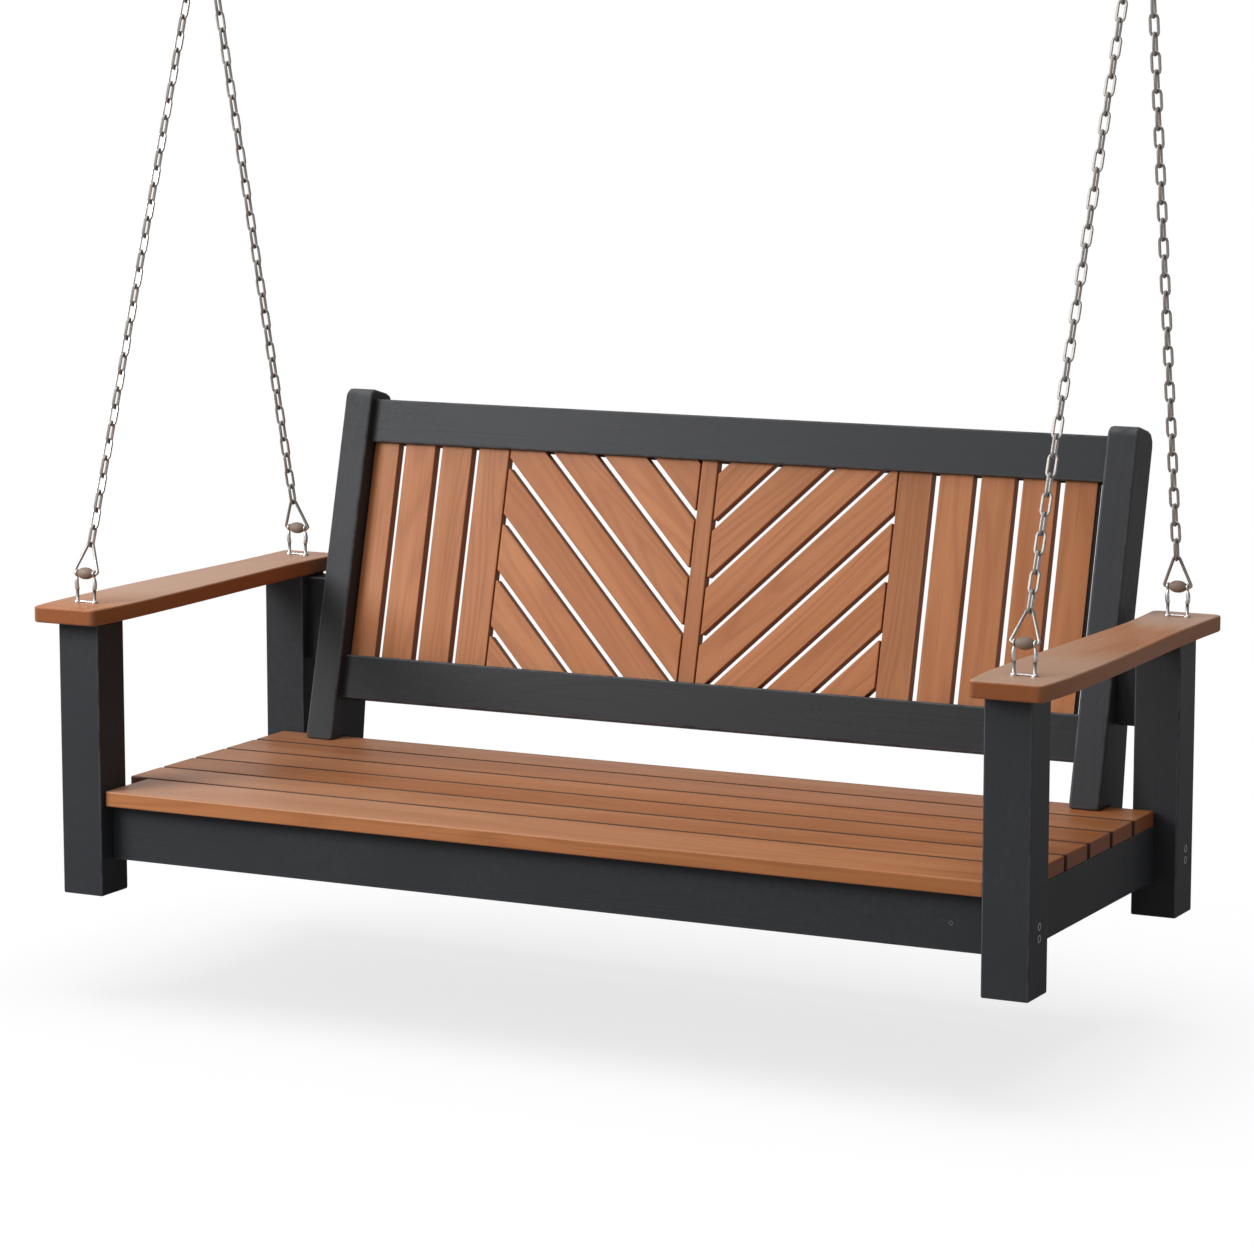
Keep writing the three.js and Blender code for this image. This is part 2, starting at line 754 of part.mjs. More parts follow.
// A screwed plate with a round bar bent into a staple under it, which the chains' top links hang on.
function ceilingHanger(x) {
  const halfBar = (barInnerWidth + barDiameter) / 2;
  const bend = barDiameter;
  const top = hangerRise + barDrop + ceilingPlate.thickness / 2;
  const path = new THREE.CurvePath();
  const point = (px, pz) => new THREE.Vector3(x + px, hangerDepth, pz);
  const corner = (sign) => [
    point(sign * halfBar, hangerRise + bend),
    point(sign * halfBar, hangerRise),
    point(sign * (halfBar - bend), hangerRise),
  ];
  const [leftHigh, leftCorner, leftLow] = corner(-1);
  const [rightHigh, rightCorner, rightLow] = corner(1);
  path.add(new THREE.LineCurve3(point(-halfBar, top), leftHigh));
  path.add(new THREE.QuadraticBezierCurve3(leftHigh, leftCorner, leftLow));
  path.add(new THREE.LineCurve3(leftLow, rightLow));
  path.add(new THREE.QuadraticBezierCurve3(rightLow, rightCorner, rightHigh));
  path.add(new THREE.LineCurve3(rightHigh, point(halfBar, top)));
  const section = new THREE.Shape().absarc(0, 0, barDiameter / 2, 0, 2 * Math.PI);
  const staple = new THREE.ExtrudeGeometry(section, { steps: 16, extrudePath: path, curveSegments: 4 });
  const { length, width, thickness, corner: clip } = ceilingPlate;
  const outline = rectangle(x - length / 2, hangerDepth - width / 2, x + length / 2, hangerDepth + width / 2, clip);
  const plate = lying(outline, hangerRise + barDrop, thickness, 0.8);
  const holes = [-1, 1].map((sign) =>
    roundBar(x + (sign * screwSpacing) / 2, hangerDepth, ceiling - 2 * thickness, ceiling + 1, screwHoleDiameter),
  );
  return cut(joined([plate, staple]), holes);
}

function buildCeilingHangers(group) {
  place(group, "ceiling_hanger_left", ceilingHanger(-ceilingSpan / 2), plainSteel());
  place(group, "ceiling_hanger_right", ceilingHanger(ceilingSpan / 2), plainSteel());
}

// ---- The assembly ----

const swing = new THREE.Group();
swing.position.set(0, -hangerDepth, -ceiling);
buildPosts(swing);
buildArms(swing);
buildRails(swing);
buildSeat(swing);
buildBack(swing);
buildHanging(swing);
buildCeilingHangers(swing);

const porchSwing = new THREE.Group();
porchSwing.add(swing);

export default porchSwing;
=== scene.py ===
"""The looks of a porch swing: eased boards, painted frame, hanging hardware and small fixings.

Everything is in metres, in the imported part's frame: the origin lies on the ceiling midway between the
two ceiling hangers, X runs along the bench, Y from its front to its back, and Z is up.
"""

import logging
import math
from collections.abc import Iterable, Sequence
from dataclasses import dataclass, field
from enum import Enum

import bpy
import numpy as np
from mathutils import Matrix, Vector, geometry

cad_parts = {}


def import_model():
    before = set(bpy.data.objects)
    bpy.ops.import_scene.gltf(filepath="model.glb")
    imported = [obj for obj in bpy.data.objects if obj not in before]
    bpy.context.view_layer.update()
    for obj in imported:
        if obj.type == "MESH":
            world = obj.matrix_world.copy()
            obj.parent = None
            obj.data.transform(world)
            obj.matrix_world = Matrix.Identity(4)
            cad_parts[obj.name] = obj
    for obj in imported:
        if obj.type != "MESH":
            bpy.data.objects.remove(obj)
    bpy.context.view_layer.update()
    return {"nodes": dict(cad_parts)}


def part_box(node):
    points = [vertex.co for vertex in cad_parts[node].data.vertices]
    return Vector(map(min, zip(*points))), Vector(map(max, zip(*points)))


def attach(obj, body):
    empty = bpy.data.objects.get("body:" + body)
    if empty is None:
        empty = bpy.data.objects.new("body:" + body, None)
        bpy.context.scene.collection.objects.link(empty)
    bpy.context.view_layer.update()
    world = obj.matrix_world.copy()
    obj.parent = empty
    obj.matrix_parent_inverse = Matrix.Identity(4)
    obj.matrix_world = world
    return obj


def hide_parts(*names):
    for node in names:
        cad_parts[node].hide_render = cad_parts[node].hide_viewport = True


Array = np.ndarray
Node = bpy.types.Node
Socket = bpy.types.NodeSocket
Lamp = bpy.types.Object
Value = float | tuple | Socket

log = logging.getLogger("porch_swing")

X, Y, Z = np.eye(3)
RAKE = math.radians(14.3)
UP_THE_RAKE = np.array([0.0, math.sin(RAKE), math.cos(RAKE)])
BEHIND_THE_RAKE = np.array([0.0, math.cos(RAKE), -math.sin(RAKE)])

BAR_HEIGHT = -0.031  # of the ceiling hangers' bars, which the chains hang on
WHITE = (1.0, 1.0, 1.0, 1.0)
JOINT_GAP = 0.0003  # left between pieces that are screwed or glued face to face
CORNER_OVER_EASE = 1.04  # a squared timber's corner radius, over the radius of its other edges
MOST_OF_AN_EDGE = 0.48  # how much of an edge the rounding of one corner may take
LEAST_REACH = 0.05  # of a corner's radius, kept where the easing is larger than the corner
SLIGHT_TURN = 0.3  # sine of the sharpest turn that still counts as a curve and not as a corner
FLAT_TURN = 0.035  # sine of a turn that counts as none
SHARP_EDGE = math.radians(42)  # faces of turned and bent steel that meet at less are shaded as one


class Body(str, Enum):
    """The CAD bodies that pieces ride on."""

    CEILING = "ceiling"
    SWING = "swing"


class Slot(str, Enum):
    """The record's material slots."""

    FRAME = "painted_frame"
    BOARDS = "stained_boards"
    STEEL = "plain_steel"
    SPACER = "spacer_plastic"


# ---- Surfaces ----


@dataclass
class Surface:
    """Points and faces of a shape, with what its finish reads from them."""

    points: Array
    faces: list[list[int]]
    normals: Array | None = None
    attributes: dict[str, Array] = field(default_factory=dict)


def joined(surfaces: Sequence[Surface]) -> Surface:
    """Puts several surfaces into one.

    Args:
        surfaces: the surfaces, which all carry the same attributes.

    Returns:
        One surface with all their points and faces.
    """
    starts = np.cumsum([0] + [len(s.points) for s in surfaces])
    faces = [[v + start for v in face] for s, start in zip(surfaces, starts.tolist()) for face in s.faces]
    names = surfaces[0].attributes
    return Surface(
        np.concatenate([s.points for s in surfaces]),
        faces,
        None if surfaces[0].normals is None else np.concatenate([s.normals for s in surfaces]),
        {name: np.concatenate([s.attributes[name] for s in surfaces]) for name in names},
    )


def grid_faces(rows: int, columns: int, closed: bool = False) -> list[list[int]]:
    """Quads of a grid whose columns run round and meet.

    Args:
        rows: how many rows of points there are.
        columns: how many points are in a row.
        closed: whether the last row also meets the first.

    Returns:
        The faces, as point numbers. They look outwards where the rows climb and the columns run
        counter-clockwise about the direction of climb.
    """
    i = np.arange(rows if closed else rows - 1)[:, None]
    j = np.arange(columns)[None, :]
    above, beside = (i + 1) % rows, (j + 1) % columns
    corners = [i * columns + j, i * columns + beside, above * columns + beside, above * columns + j]
    return np.stack(np.broadcast_arrays(*corners), axis=-1).reshape(-1, 4).tolist()


def end_caps(rows: int, columns: int) -> list[list[int]]:
    """The two flat faces that close a grid's first and last row."""
    first = list(range(columns))[::-1]
    return [first, [(rows - 1) * columns + v for v in range(columns)]]


def rounded(corners: Array, radii: Array, steps: int) -> tuple[Array, Array, Array, Array]:
    """Replaces each corner of a closed outline with an arc that is tangent to both its edges.

    The arc's centre is the corner less its radius times the mitre, the sum of the two edges' outward
    normals over one plus their dot product. Its points are the centre plus the radius along unit
    directions swept from one normal to the other. An inward corner has a negative radius.

    Args:
        corners: the outline, counter-clockwise, as rows of two.
        radii: the radius at each corner, made smaller where an edge is too short for it.
        steps: points on each arc.

    Returns:
        For each new point: its arc's centre, its outward direction, its signed radius, and how far
        it stands on a bend, from 0 where the outline is straight to 1 in the middle of a corner.
    """
    edges = np.roll(corners, -1, 0) - corners
    lengths = np.linalg.norm(edges, axis=1)
    after = np.stack([edges[:, 1], -edges[:, 0]], 1) / lengths[:, None]
    before = np.roll(after, 1, 0)
    facing = (before * after).sum(1)
    turn = before[:, 0] * after[:, 1] - before[:, 1] * after[:, 0]
    half_tangent = np.abs(turn) / (1 + facing)
    shortest = np.minimum(lengths, np.roll(lengths, 1))
    longest = MOST_OF_AN_EDGE * shortest / np.maximum(half_tangent, 1e-6)
    radius = np.minimum(radii, longest) * np.sign(turn)
    centres = corners - radius[:, None] * (before + after) / (1 + facing)[:, None]
    share = np.linspace(0, 1, steps)[None, :, None]
    sweep = before[:, None] * (1 - share) + after[:, None] * share
    sweep /= np.linalg.norm(sweep, axis=2, keepdims=True)
    sharpness = np.clip((np.abs(turn) - SLIGHT_TURN) / SLIGHT_TURN, 0, 1)
    bend = sharpness[:, None] * np.sin(np.pi * share[:, :, 0])
    spread = np.ones((1, steps))
    return (
        np.repeat(centres, steps, axis=0),
        sweep.reshape(-1, 2),
        (radius[:, None] * spread).ravel(),
        bend.ravel(),
    )


@dataclass
class Placing:
    """Where a flat outline stands: its two directions and the point its measures start from."""

    along: Array
    upward: Array
    origin: Array

    @property
    def basis(self) -> Array:
        """The outline's two directions and the direction of its thickness, as rows."""
        return np.stack([self.along, self.upward, np.cross(self.along, self.upward)])


def eased_board(
    corners: Array, radii: Array | float, thickness: float, ease: float, placing: Placing, steps: int = 4
) -> Surface:
    """A board of an outline's shape, with its edges rounded on both faces.

    The outline is carried over a quarter circle at each face: at angle a it is drawn in by
    ease (1 - cos a) and lies ease (1 - sin a) inside the face, and its normal turns from the outline's
    to the face's.

    Args:
        corners: the outline, counter-clockwise, in the placing's plane.
        radii: radius of the outline's corners, one for all or one each.
        thickness: from the outline's plane, along the placing's third direction.
        ease: radius of the rounded edges.
        placing: where the outline stands.
        steps: points on each arc.

    Returns:
        The surface, with its normals and an "edge" attribute that is 1 in the middle of its edges.
    """
    centres, sweep, reach, bend = rounded(corners, np.broadcast_to(radii, len(corners)), steps)
    angle = np.linspace(0, np.pi / 2, steps)
    drawn_in = ease * (1 - np.cos(angle))
    sunk = ease * (1 - np.sin(angle))
    inset = np.concatenate([drawn_in[::-1], drawn_in])[:, None]
    height = np.concatenate([sunk[::-1], thickness - sunk])[:, None]
    tilt = np.concatenate([-angle[::-1], angle])[:, None]
    arm = np.where(reach > 0, np.maximum(reach - inset, LEAST_REACH * reach), reach - inset)
    plan = centres + arm[..., None] * sweep
    local = np.concatenate([plan, np.broadcast_to(height, arm.shape)[..., None]], axis=-1)
    normals = np.concatenate(
        [np.cos(tilt)[..., None] * sweep, np.broadcast_to(np.sin(tilt), arm.shape)[..., None]], axis=-1
    )
    rows, columns = arm.shape
    edge = np.maximum(np.abs(np.sin(2 * tilt)), bend[None] * np.cos(tilt))
    return Surface(
        placing.origin + local.reshape(-1, 3) @ placing.basis,
        grid_faces(rows, columns) + end_caps(rows, columns),
        normals.reshape(-1, 3) @ placing.basis,
        {"edge": edge.ravel()},
    )


def tube(
    path: Array, outward: Array, binormal: Array, radius: Array | float, sides: int, closed: bool = False
) -> Surface:
    """A round section carried along a flat path.

    At each point of the path the section's points are the point plus the radius times
    (outward cos a + binormal sin a), for a from 0 to a full turn.

    Args:
        path: points of the centreline.
        outward: at each point, a unit direction square to the path and in its plane.
        binormal: the unit direction for which outward cross binormal runs along the path.
        radius: radius at each point, or one for all.
        sides: points round the section.
        closed: whether the path meets itself. The ends of an open path are closed flat.

    Returns:
        The surface.
    """
    angle = 2 * np.pi * np.arange(sides) / sides
    ring = outward[:, None] * np.cos(angle)[:, None] + binormal * np.sin(angle)[:, None]
    reach = np.broadcast_to(radius, len(path))[:, None, None]
    points = path[:, None] + reach * ring
    faces = grid_faces(len(path), sides, closed)
    return Surface(points.reshape(-1, 3), faces if closed else faces + end_caps(len(path), sides))


def turned(
    profile: Array, centre: Array, axis: Array, side: Array, sides: int, closed: bool = False
) -> Surface:
    """A profile turned about an axis.

    A profile point at radius r and distance d gives the points centre + d axis + r times
    (side cos a + (axis cross side) sin a).

    Args:
        profile: rows of radius and distance along the axis, which climb along it.
        centre: the point of the axis that distances start from.
        axis: its unit direction.
        side: a unit direction square to it.
        sides: points round the axis.
        closed: whether the profile meets itself, as round a bore.

    Returns:
        The surface, closed flat at its ends where the profile is open.
    """
    angle = 2 * np.pi * np.arange(sides) / sides
    ring = side * np.cos(angle)[:, None] + np.cross(axis, side) * np.sin(angle)[:, None]
    points = centre + profile[:, 1, None, None] * axis + profile[:, 0, None, None] * ring
    faces = grid_faces(len(profile), sides, closed)
    return Surface(points.reshape(-1, 3), faces if closed else faces + end_caps(len(profile), sides))


def rectangle(low: Sequence[float], high: Sequence[float]) -> Array:
    """The four corners of a rectangle, counter-clockwise."""
    return np.array([[low[0], low[1]], [high[0], low[1]], [high[0], high[1]], [low[0], high[1]]])


def flowing(points: Array, pieces: int = 3) -> Array:
    """Points on a smooth line through some points.

    Between two points the line is the uniform Catmull-Rom cubic of them and their neighbours.

    Args:
        points: rows of two, which the line goes through.
        pieces: how many points replace each stretch.

    Returns:
        The points of the line, from the first given point to the last.
    """
    padded = np.concatenate([points[:1], points, points[-1:]])
    p0, p1, p2, p3 = (padded[i : len(padded) - 3 + i, None] for i in range(4))
    t = (np.arange(pieces) / pieces)[None, :, None]
    curve = 0.5 * (
        2 * p1 + (p2 - p0) * t + (2 * p0 - 5 * p1 + 4 * p2 - p3) * t**2 + (3 * p1 - p0 - 3 * p2 + p3) * t**3
    )
    return np.concatenate([curve.reshape(-1, 2), points[-1:]])


def corners_of(node: str) -> tuple[Array, Array]:
    """The lowest and the highest corner of a CAD node."""
    low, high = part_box(node)
    return np.array(low), np.array(high)


def middle_of(node: str) -> Array:
    """The middle of a CAD node's box."""
    return sum(corners_of(node)) / 2


def node_points(node: bpy.types.Object) -> Array:
    """The points of a CAD node.

    Args:
        node: its object.

    Returns:
        The points, as rows of three.
    """
    flat = np.zeros(len(node.data.vertices) * 3, np.float32)
    node.data.vertices.foreach_get("co", flat)
    return flat.reshape(-1, 3).astype(float)


def convex_outline(flat: Array) -> Array:
    """The convex outline of points in a plane.

    Args:
        flat: the points, as rows of two.

    Returns:
        Its corners, counter-clockwise, without the ones that turn less than about two degrees.
    """
    spots = np.unique(np.round(flat, 5), axis=0)
    hull = spots[geometry.convex_hull_2d([Vector(spot) for spot in spots.tolist()])]
    back, ahead = hull - np.roll(hull, 1, 0), np.roll(hull, -1, 0) - hull
    turn = (back[:, 0] * ahead[:, 1] - back[:, 1] * ahead[:, 0]) / (
        np.linalg.norm(back, axis=1) * np.linalg.norm(ahead, axis=1)
    )
    return hull[np.abs(turn) > FLAT_TURN][:: 1 if turn.sum() > 0 else -1]


# ---- Finishes ----


class Wiring:
    """Adds nodes to a node tree and joins them."""

    def __init__(self, tree: bpy.types.NodeTree) -> None:
        """Keeps the tree that is wired."""
        self.tree = tree

    def add(self, kind: str, inputs: dict[str | int, Value] | None = None, **settings: object) -> Node:
        """Adds a node.

        Args:
            kind: its type, without the "ShaderNode" it starts with.
            inputs: a value, or a socket to join, for each input that is set.
            settings: its properties.

        Returns:
            The node.
        """
        node = self.tree.nodes.new("ShaderNode" + kind)
        for key, setting in settings.items():
            setattr(node, key, setting)
        for key, value in (inputs or {}).items():
            if isinstance(value, Socket):
                self.tree.links.new(value, node.inputs[key])
            else:
                node.inputs[key].default_value = value
        return node

    def join(self, node: Node, **sockets: Socket) -> None:
        """Joins sockets to a node's inputs, whose names have _ for a space."""
        for label, socket in sockets.items():
            self.tree.links.new(socket, node.inputs[label.replace("_", " ")])

    def attribute(self, name: str, output: str = "Fac") -> Socket:
        """What one of the piece's attributes holds."""
        return self.add("Attribute", attribute_name=name).outputs[output]

    def shared(self, group: bpy.types.NodeTree, **inputs: Value) -> Node:
        """A node that runs a shared group."""
        return self.add("Group", inputs, node_tree=group)

    def math(self, operation: str, a: Value, b: Value = 0.0, clamp: bool = False) -> Socket:
        """The result of one Math node."""
        return self.add("Math", {0: a, 1: b}, operation=operation, use_clamp=clamp).outputs[0]

    def times(self, a: Value, b: Value) -> Socket:
        """The product of two values."""
        return self.math("MULTIPLY", a, b)

    def mixed(self, share: Value, a: Value, b: Value) -> Socket:
        """One value turning into another with a share."""
        return self.math("ADD", a, self.times(share, self.math("SUBTRACT", b, a)))

    def between(self, share: Value, low: float, high: float) -> Socket:
        """A number from low to high as the share goes from 0 to 1."""
        return self.add("MapRange", {"Value": share, "To Min": low, "To Max": high}).outputs[0]

    def window(self, value: Value, low: float, high: float) -> Socket:
        """A smooth step from 0 to 1 as the value goes from low to high."""
        ends = {"Value": value, "From Min": low, "From Max": high}
        return self.add("MapRange", ends, interpolation_type="SMOOTHSTEP").outputs[0]

    def noise(self, vector: Value, scale: Sequence[float], detail: float = 2.0) -> Socket:
        """Noise with its own scale in each direction."""
        spread = self.add("VectorMath", {0: vector, 1: tuple(scale)}, operation="MULTIPLY").outputs[0]
        return self.add("TexNoise", {"Vector": spread, "Scale": 1.0, "Detail": detail}).outputs["Fac"]

    def grey(self, value: Value) -> Socket:
        """A grey of one value."""
        return self.add("CombineColor", {0: value, 1: value, 2: value}).outputs[0]

    def blend(self, share: Value, a: Value, b: Value, how: str = "MIX") -> Socket:
        """A colour between two others."""
        return self.add("Mix", {0: share, 6: a, 7: b}, data_type="RGBA", blend_type=how).outputs[2]

    def bump(self, height: Value, depth: float) -> Socket:
        """A normal raised by a height from 0 to 1, so many metres deep."""
        return self.add("Bump", {"Height": height, "Distance": depth, "Strength": 1.0}).outputs["Normal"]


def effect(name: str, inputs: dict[str, str], outputs: Iterable[str]) -> tuple[Wiring, Node, Node]:
    """Starts a node group.

    Args:
        name: its name.
        inputs: for each input its socket type's last word.
        outputs: names of the outputs, all numbers.

    Returns:
        Its wiring, its input node and its output node.
    """
    tree = bpy.data.node_groups.new(name, "ShaderNodeTree")
    for label, kind in inputs.items():
        tree.interface.new_socket(label, in_out="INPUT", socket_type="NodeSocket" + kind)
    for label in outputs:
        tree.interface.new_socket(label, in_out="OUTPUT", socket_type="NodeSocketFloat")
    return Wiring(tree), tree.nodes.new("NodeGroupInput"), tree.nodes.new("NodeGroupOutput")


def timber_figure() -> bpy.types.NodeTree:
    """The figure of sawn timber, on coordinates that run along, across and through a board.

    Growth lines are the contours of a noise that is stretched along the board: its value times the
    number of lines goes through a sine. Fibres are a fine noise stretched much further.

    Returns:
        The group, with the outputs Lines, Fibre and Patch, each from 0 to 1.
    """
    growth_scale, waver_scale = (1.1, 13.0, 13.0), (9.0, 60.0, 60.0)
    fibre_scale, patch_scale = (7.0, 420.0, 420.0), (1.6, 16.0, 16.0)
    waver_share, line_count, line_thinness = 0.035, 14, 2.2
    wiring, given, put = effect("timber_figure", {"Vector": "Vector"}, ("Lines", "Fibre", "Patch"))
    vector = given.outputs["Vector"]
    growth = wiring.noise(vector, growth_scale, 1.5)
    height = wiring.math("ADD", growth, wiring.times(wiring.noise(vector, waver_scale), waver_share))
    wave = wiring.math("SINE", wiring.times(height, line_count * 2 * math.pi))
    rise = wiring.add("MapRange", {"Value": wave, "From Min": -1.0}).outputs[0]
    wiring.join(
        put,
        Lines=wiring.math("POWER", rise, line_thinness),
        Fibre=wiring.noise(vector, fibre_scale, 3.0),
        Patch=wiring.noise(vector, patch_scale),
    )
    return wiring.tree


def edge_highlight_mask() -> bpy.types.NodeTree:
    """Where a finish is painted paler along its edges: the edge mask, broken up by noise. On the boards this
    is a painted highlight, on the small bolt cover it pales the rim.

    Returns:
        The group, with the output Mask from 0 to 1.
    """
    patch_scale, patch_detail, patch_edge = (45.0,) * 3, 4.0, (0.2, 0.6)
    inputs = {"Vector": "Vector", "Edge": "Float", "Amount": "Float"}
    wiring, given, put = effect("edge_highlight_mask", inputs, ("Mask",))
    rough = wiring.window(wiring.noise(given.outputs["Vector"], patch_scale, patch_detail), *patch_edge)
    raised = wiring.times(given.outputs["Edge"], rough)
    wiring.join(put, Mask=wiring.math("MULTIPLY", raised, given.outputs["Amount"], clamp=True))
    return wiring.tree


def fine_dust() -> bpy.types.NodeTree:
    """Faint cloudiness that dulls a finish unevenly.

    Returns:
        The group, with the output Mask from 0 to 1.
    """
    cloud_scale, cloud_detail, cloud_edge = (6.0,) * 3, 3.0, (0.3, 0.75)
    speck_scale, speck_edge = (140.0,) * 3, (0.25, 0.8)
    wiring, given, put = effect("fine_dust", {"Vector": "Vector"}, ("Mask",))
    vector = given.outputs["Vector"]
    broad = wiring.window(wiring.noise(vector, cloud_scale, cloud_detail), *cloud_edge)
    speckled = wiring.window(wiring.noise(vector, speck_scale), *speck_edge)
    wiring.join(put, Mask=wiring.times(broad, speckled))
    return wiring.tree


@dataclass
class Effects:
    """The node groups that several finishes share."""

    figure: bpy.types.NodeTree = field(default_factory=timber_figure)
    edge_highlight: bpy.types.NodeTree = field(default_factory=edge_highlight_mask)
    dust: bpy.types.NodeTree = field(default_factory=fine_dust)


def started(name: str) -> tuple[bpy.types.Material, Wiring, Node]:
    """Starts a material.

    Args:
        name: its name.

    Returns:
        The material, its wiring and its Principled shader.
    """
    material = bpy.data.materials.new(name)
    material.use_nodes = True
    wiring = Wiring(material.node_tree)
    return material, wiring, material.node_tree.nodes["Principled BSDF"]


@dataclass(frozen=True)
class StainedTimber:
    """A brown semi-transparent stain on sawn softwood, satin."""

    pale: tuple = (0.464, 0.184, 0.071, 1)
    middle: tuple = (0.374, 0.131, 0.042, 1)
    dark: tuple = (0.225, 0.066, 0.019, 1)
    # painted sheen: the pale colour that up-facing faces and eased edges are painted towards, in place of
    # reflected light
    sheen_colour: tuple = (0.47, 0.295, 0.205, 1)
    # painted shade on the narrow faces and the rounded edges, darker than the wide faces
    side_shade: tuple = (0.300, 0.100, 0.029, 1)
    end_grain: tuple = (0.240, 0.070, 0.022, 1)
    # painted shade in the gaps between seat slats and beside the uprights
    gap_shade: tuple = (0.035, 0.013, 0.006, 1)
    # Between which values each mask goes from nothing to full.
    patch_edge: tuple = (0.3, 0.7)
    fibre_edge: tuple = (0.52, 0.72)
    side_shade_edge: tuple = (0.10, 0.65)
    end_edge: tuple = (0.45, 0.95)
    line_depth: float = 0.27
    fibre_depth: float = 0.24
    tones: tuple = (0.62, 1.38)
    # how much of the painted sheen the darker and the paler patches take
    sheen_spread: tuple = (0.6, 1.3)  # of the darker and of the paler patches
    # how strongly the eased edges take the painted highlight
    edge_highlight: float = 0.16
    side_depth: float = 0.75  # how far the painted side shade and the end grain's own colour go
    gap_shade_depth: float = 0.9
    roughness: tuple = (0.36, 0.50)
    dusty_roughness: float = 0.10
    specular: float = 0.20
    fibre_relief: float = 0.6
    line_relief: float = 0.25
    relief_depth: float = 0.00035

    def material(self, effects: Effects) -> bpy.types.Material:
        """Makes the material.

        Args:
            effects: the shared groups.

        Returns:
            The material, which reads "grain", "tone", "sheen", "side_shade", "end", "edge" and "gap_shade"
            from the piece: painted sheen on faces that point up, painted shade on narrow faces and in gaps,
                and a painted highlight on eased edges.
        """
        material, wiring, shader = started("stained_timber")
        grain = wiring.attribute("grain", "Vector")
        figure = wiring.shared(effects.figure, Vector=grain)
        lines, fibre, patch = (figure.outputs[label] for label in ("Lines", "Fibre", "Patch"))
        colour = wiring.blend(wiring.window(patch, *self.patch_edge), self.middle, self.pale)
        colour = wiring.blend(wiring.times(lines, self.line_depth), colour, self.dark)
        threads = wiring.times(wiring.window(fibre, *self.fibre_edge), self.fibre_depth)
        colour = wiring.blend(threads, colour, self.dark)
        tone = wiring.between(wiring.attribute("tone"), *self.tones)
        colour = wiring.blend(1.0, colour, wiring.grey(tone), "MULTIPLY")
        # painted sheen on the faces that point up, broken up by the patches
        sheen_amount = wiring.times(wiring.attribute("sheen"), wiring.between(patch, *self.sheen_spread))
        colour = wiring.blend(sheen_amount, colour, self.sheen_colour)
        # painted shade where a face turns away from the wide face
        side_shade = wiring.window(wiring.attribute("side_shade"), *self.side_shade_edge)
        colour = wiring.blend(wiring.times(side_shade, self.side_depth), colour, self.side_shade)
        end = wiring.window(wiring.attribute("end"), *self.end_edge)
        colour = wiring.blend(wiring.times(end, self.side_depth), colour, self.end_grain)
        # painted highlight along the eased edges
        edge_highlight = wiring.shared(effects.edge_highlight, Vector=grain, Edge=wiring.attribute("edge"), Amount=self.edge_highlight)
        colour = wiring.blend(edge_highlight.outputs["Mask"], colour, self.sheen_colour)
        # painted shade in the gaps
        gap_shade = wiring.times(wiring.attribute("gap_shade"), self.gap_shade_depth)
        colour = wiring.blend(gap_shade, colour, self.gap_shade)
        dust = wiring.shared(effects.dust, Vector=grain).outputs["Mask"]
        roughness = wiring.between(fibre, *self.roughness)
        roughness = wiring.math("ADD", roughness, wiring.times(dust, self.dusty_roughness))
        fibres, grooves = wiring.times(fibre, self.fibre_relief), wiring.times(lines, self.line_relief)
        normal = wiring.bump(wiring.math("SUBTRACT", fibres, grooves), self.relief_depth)
        wiring.join(shader, Base_Color=colour, Roughness=roughness, Normal=normal)
        shader.inputs["Specular IOR Level"].default_value = self.specular
        return material


@dataclass(frozen=True)
class DarkPaint:
    """Charcoal satin paint, through which the timber's grain just shows."""

    ground: tuple = (0.039, 0.041, 0.045, 1)
    # the paler grey of dust, and of the painted highlight along the eased edges
    dust_and_highlight: tuple = (0.120, 0.122, 0.128, 1)
    tones: tuple = (0.55, 1.45)
    dust: float = 0.08
    # how strongly the eased edges take the painted highlight
    edge_highlight: float = 0.8
    roughness: tuple = (0.36, 0.48)
    specular: float = 0.10
    fibre_relief: float = 0.5
    line_relief: float = 0.3
    relief_depth: float = 0.00022

    def material(self, effects: Effects) -> bpy.types.Material:
        """Makes the material.

        Args:
            effects: the shared groups.

        Returns:
            The material, which reads "grain", "tone" and "edge" from the piece.
        """
        material, wiring, shader = started("dark_paint")
        grain = wiring.attribute("grain", "Vector")
        figure = wiring.shared(effects.figure, Vector=grain)
        dust = wiring.shared(effects.dust, Vector=grain).outputs["Mask"]
        tone = wiring.between(wiring.attribute("tone"), *self.tones)
        colour = wiring.blend(1.0, self.ground, wiring.grey(tone), "MULTIPLY")
        colour = wiring.blend(wiring.times(dust, self.dust), colour, self.dust_and_highlight)
        # painted highlight along the eased edges
        edge_highlight = wiring.shared(effects.edge_highlight, Vector=grain, Edge=wiring.attribute("edge"), Amount=self.edge_highlight)
        colour = wiring.blend(edge_highlight.outputs["Mask"], colour, self.dust_and_highlight)
        fibres = wiring.times(figure.outputs["Fibre"], self.fibre_relief)
        grooves = wiring.times(figure.outputs["Lines"], self.line_relief)
        roughness = wiring.between(wiring.math("ADD", fibres, dust), *self.roughness)
        normal = wiring.bump(wiring.math("SUBTRACT", fibres, grooves), self.relief_depth)
        wiring.join(shader, Base_Color=colour, Roughness=roughness, Normal=normal)
        shader.inputs["Specular IOR Level"].default_value = self.specular
        return material


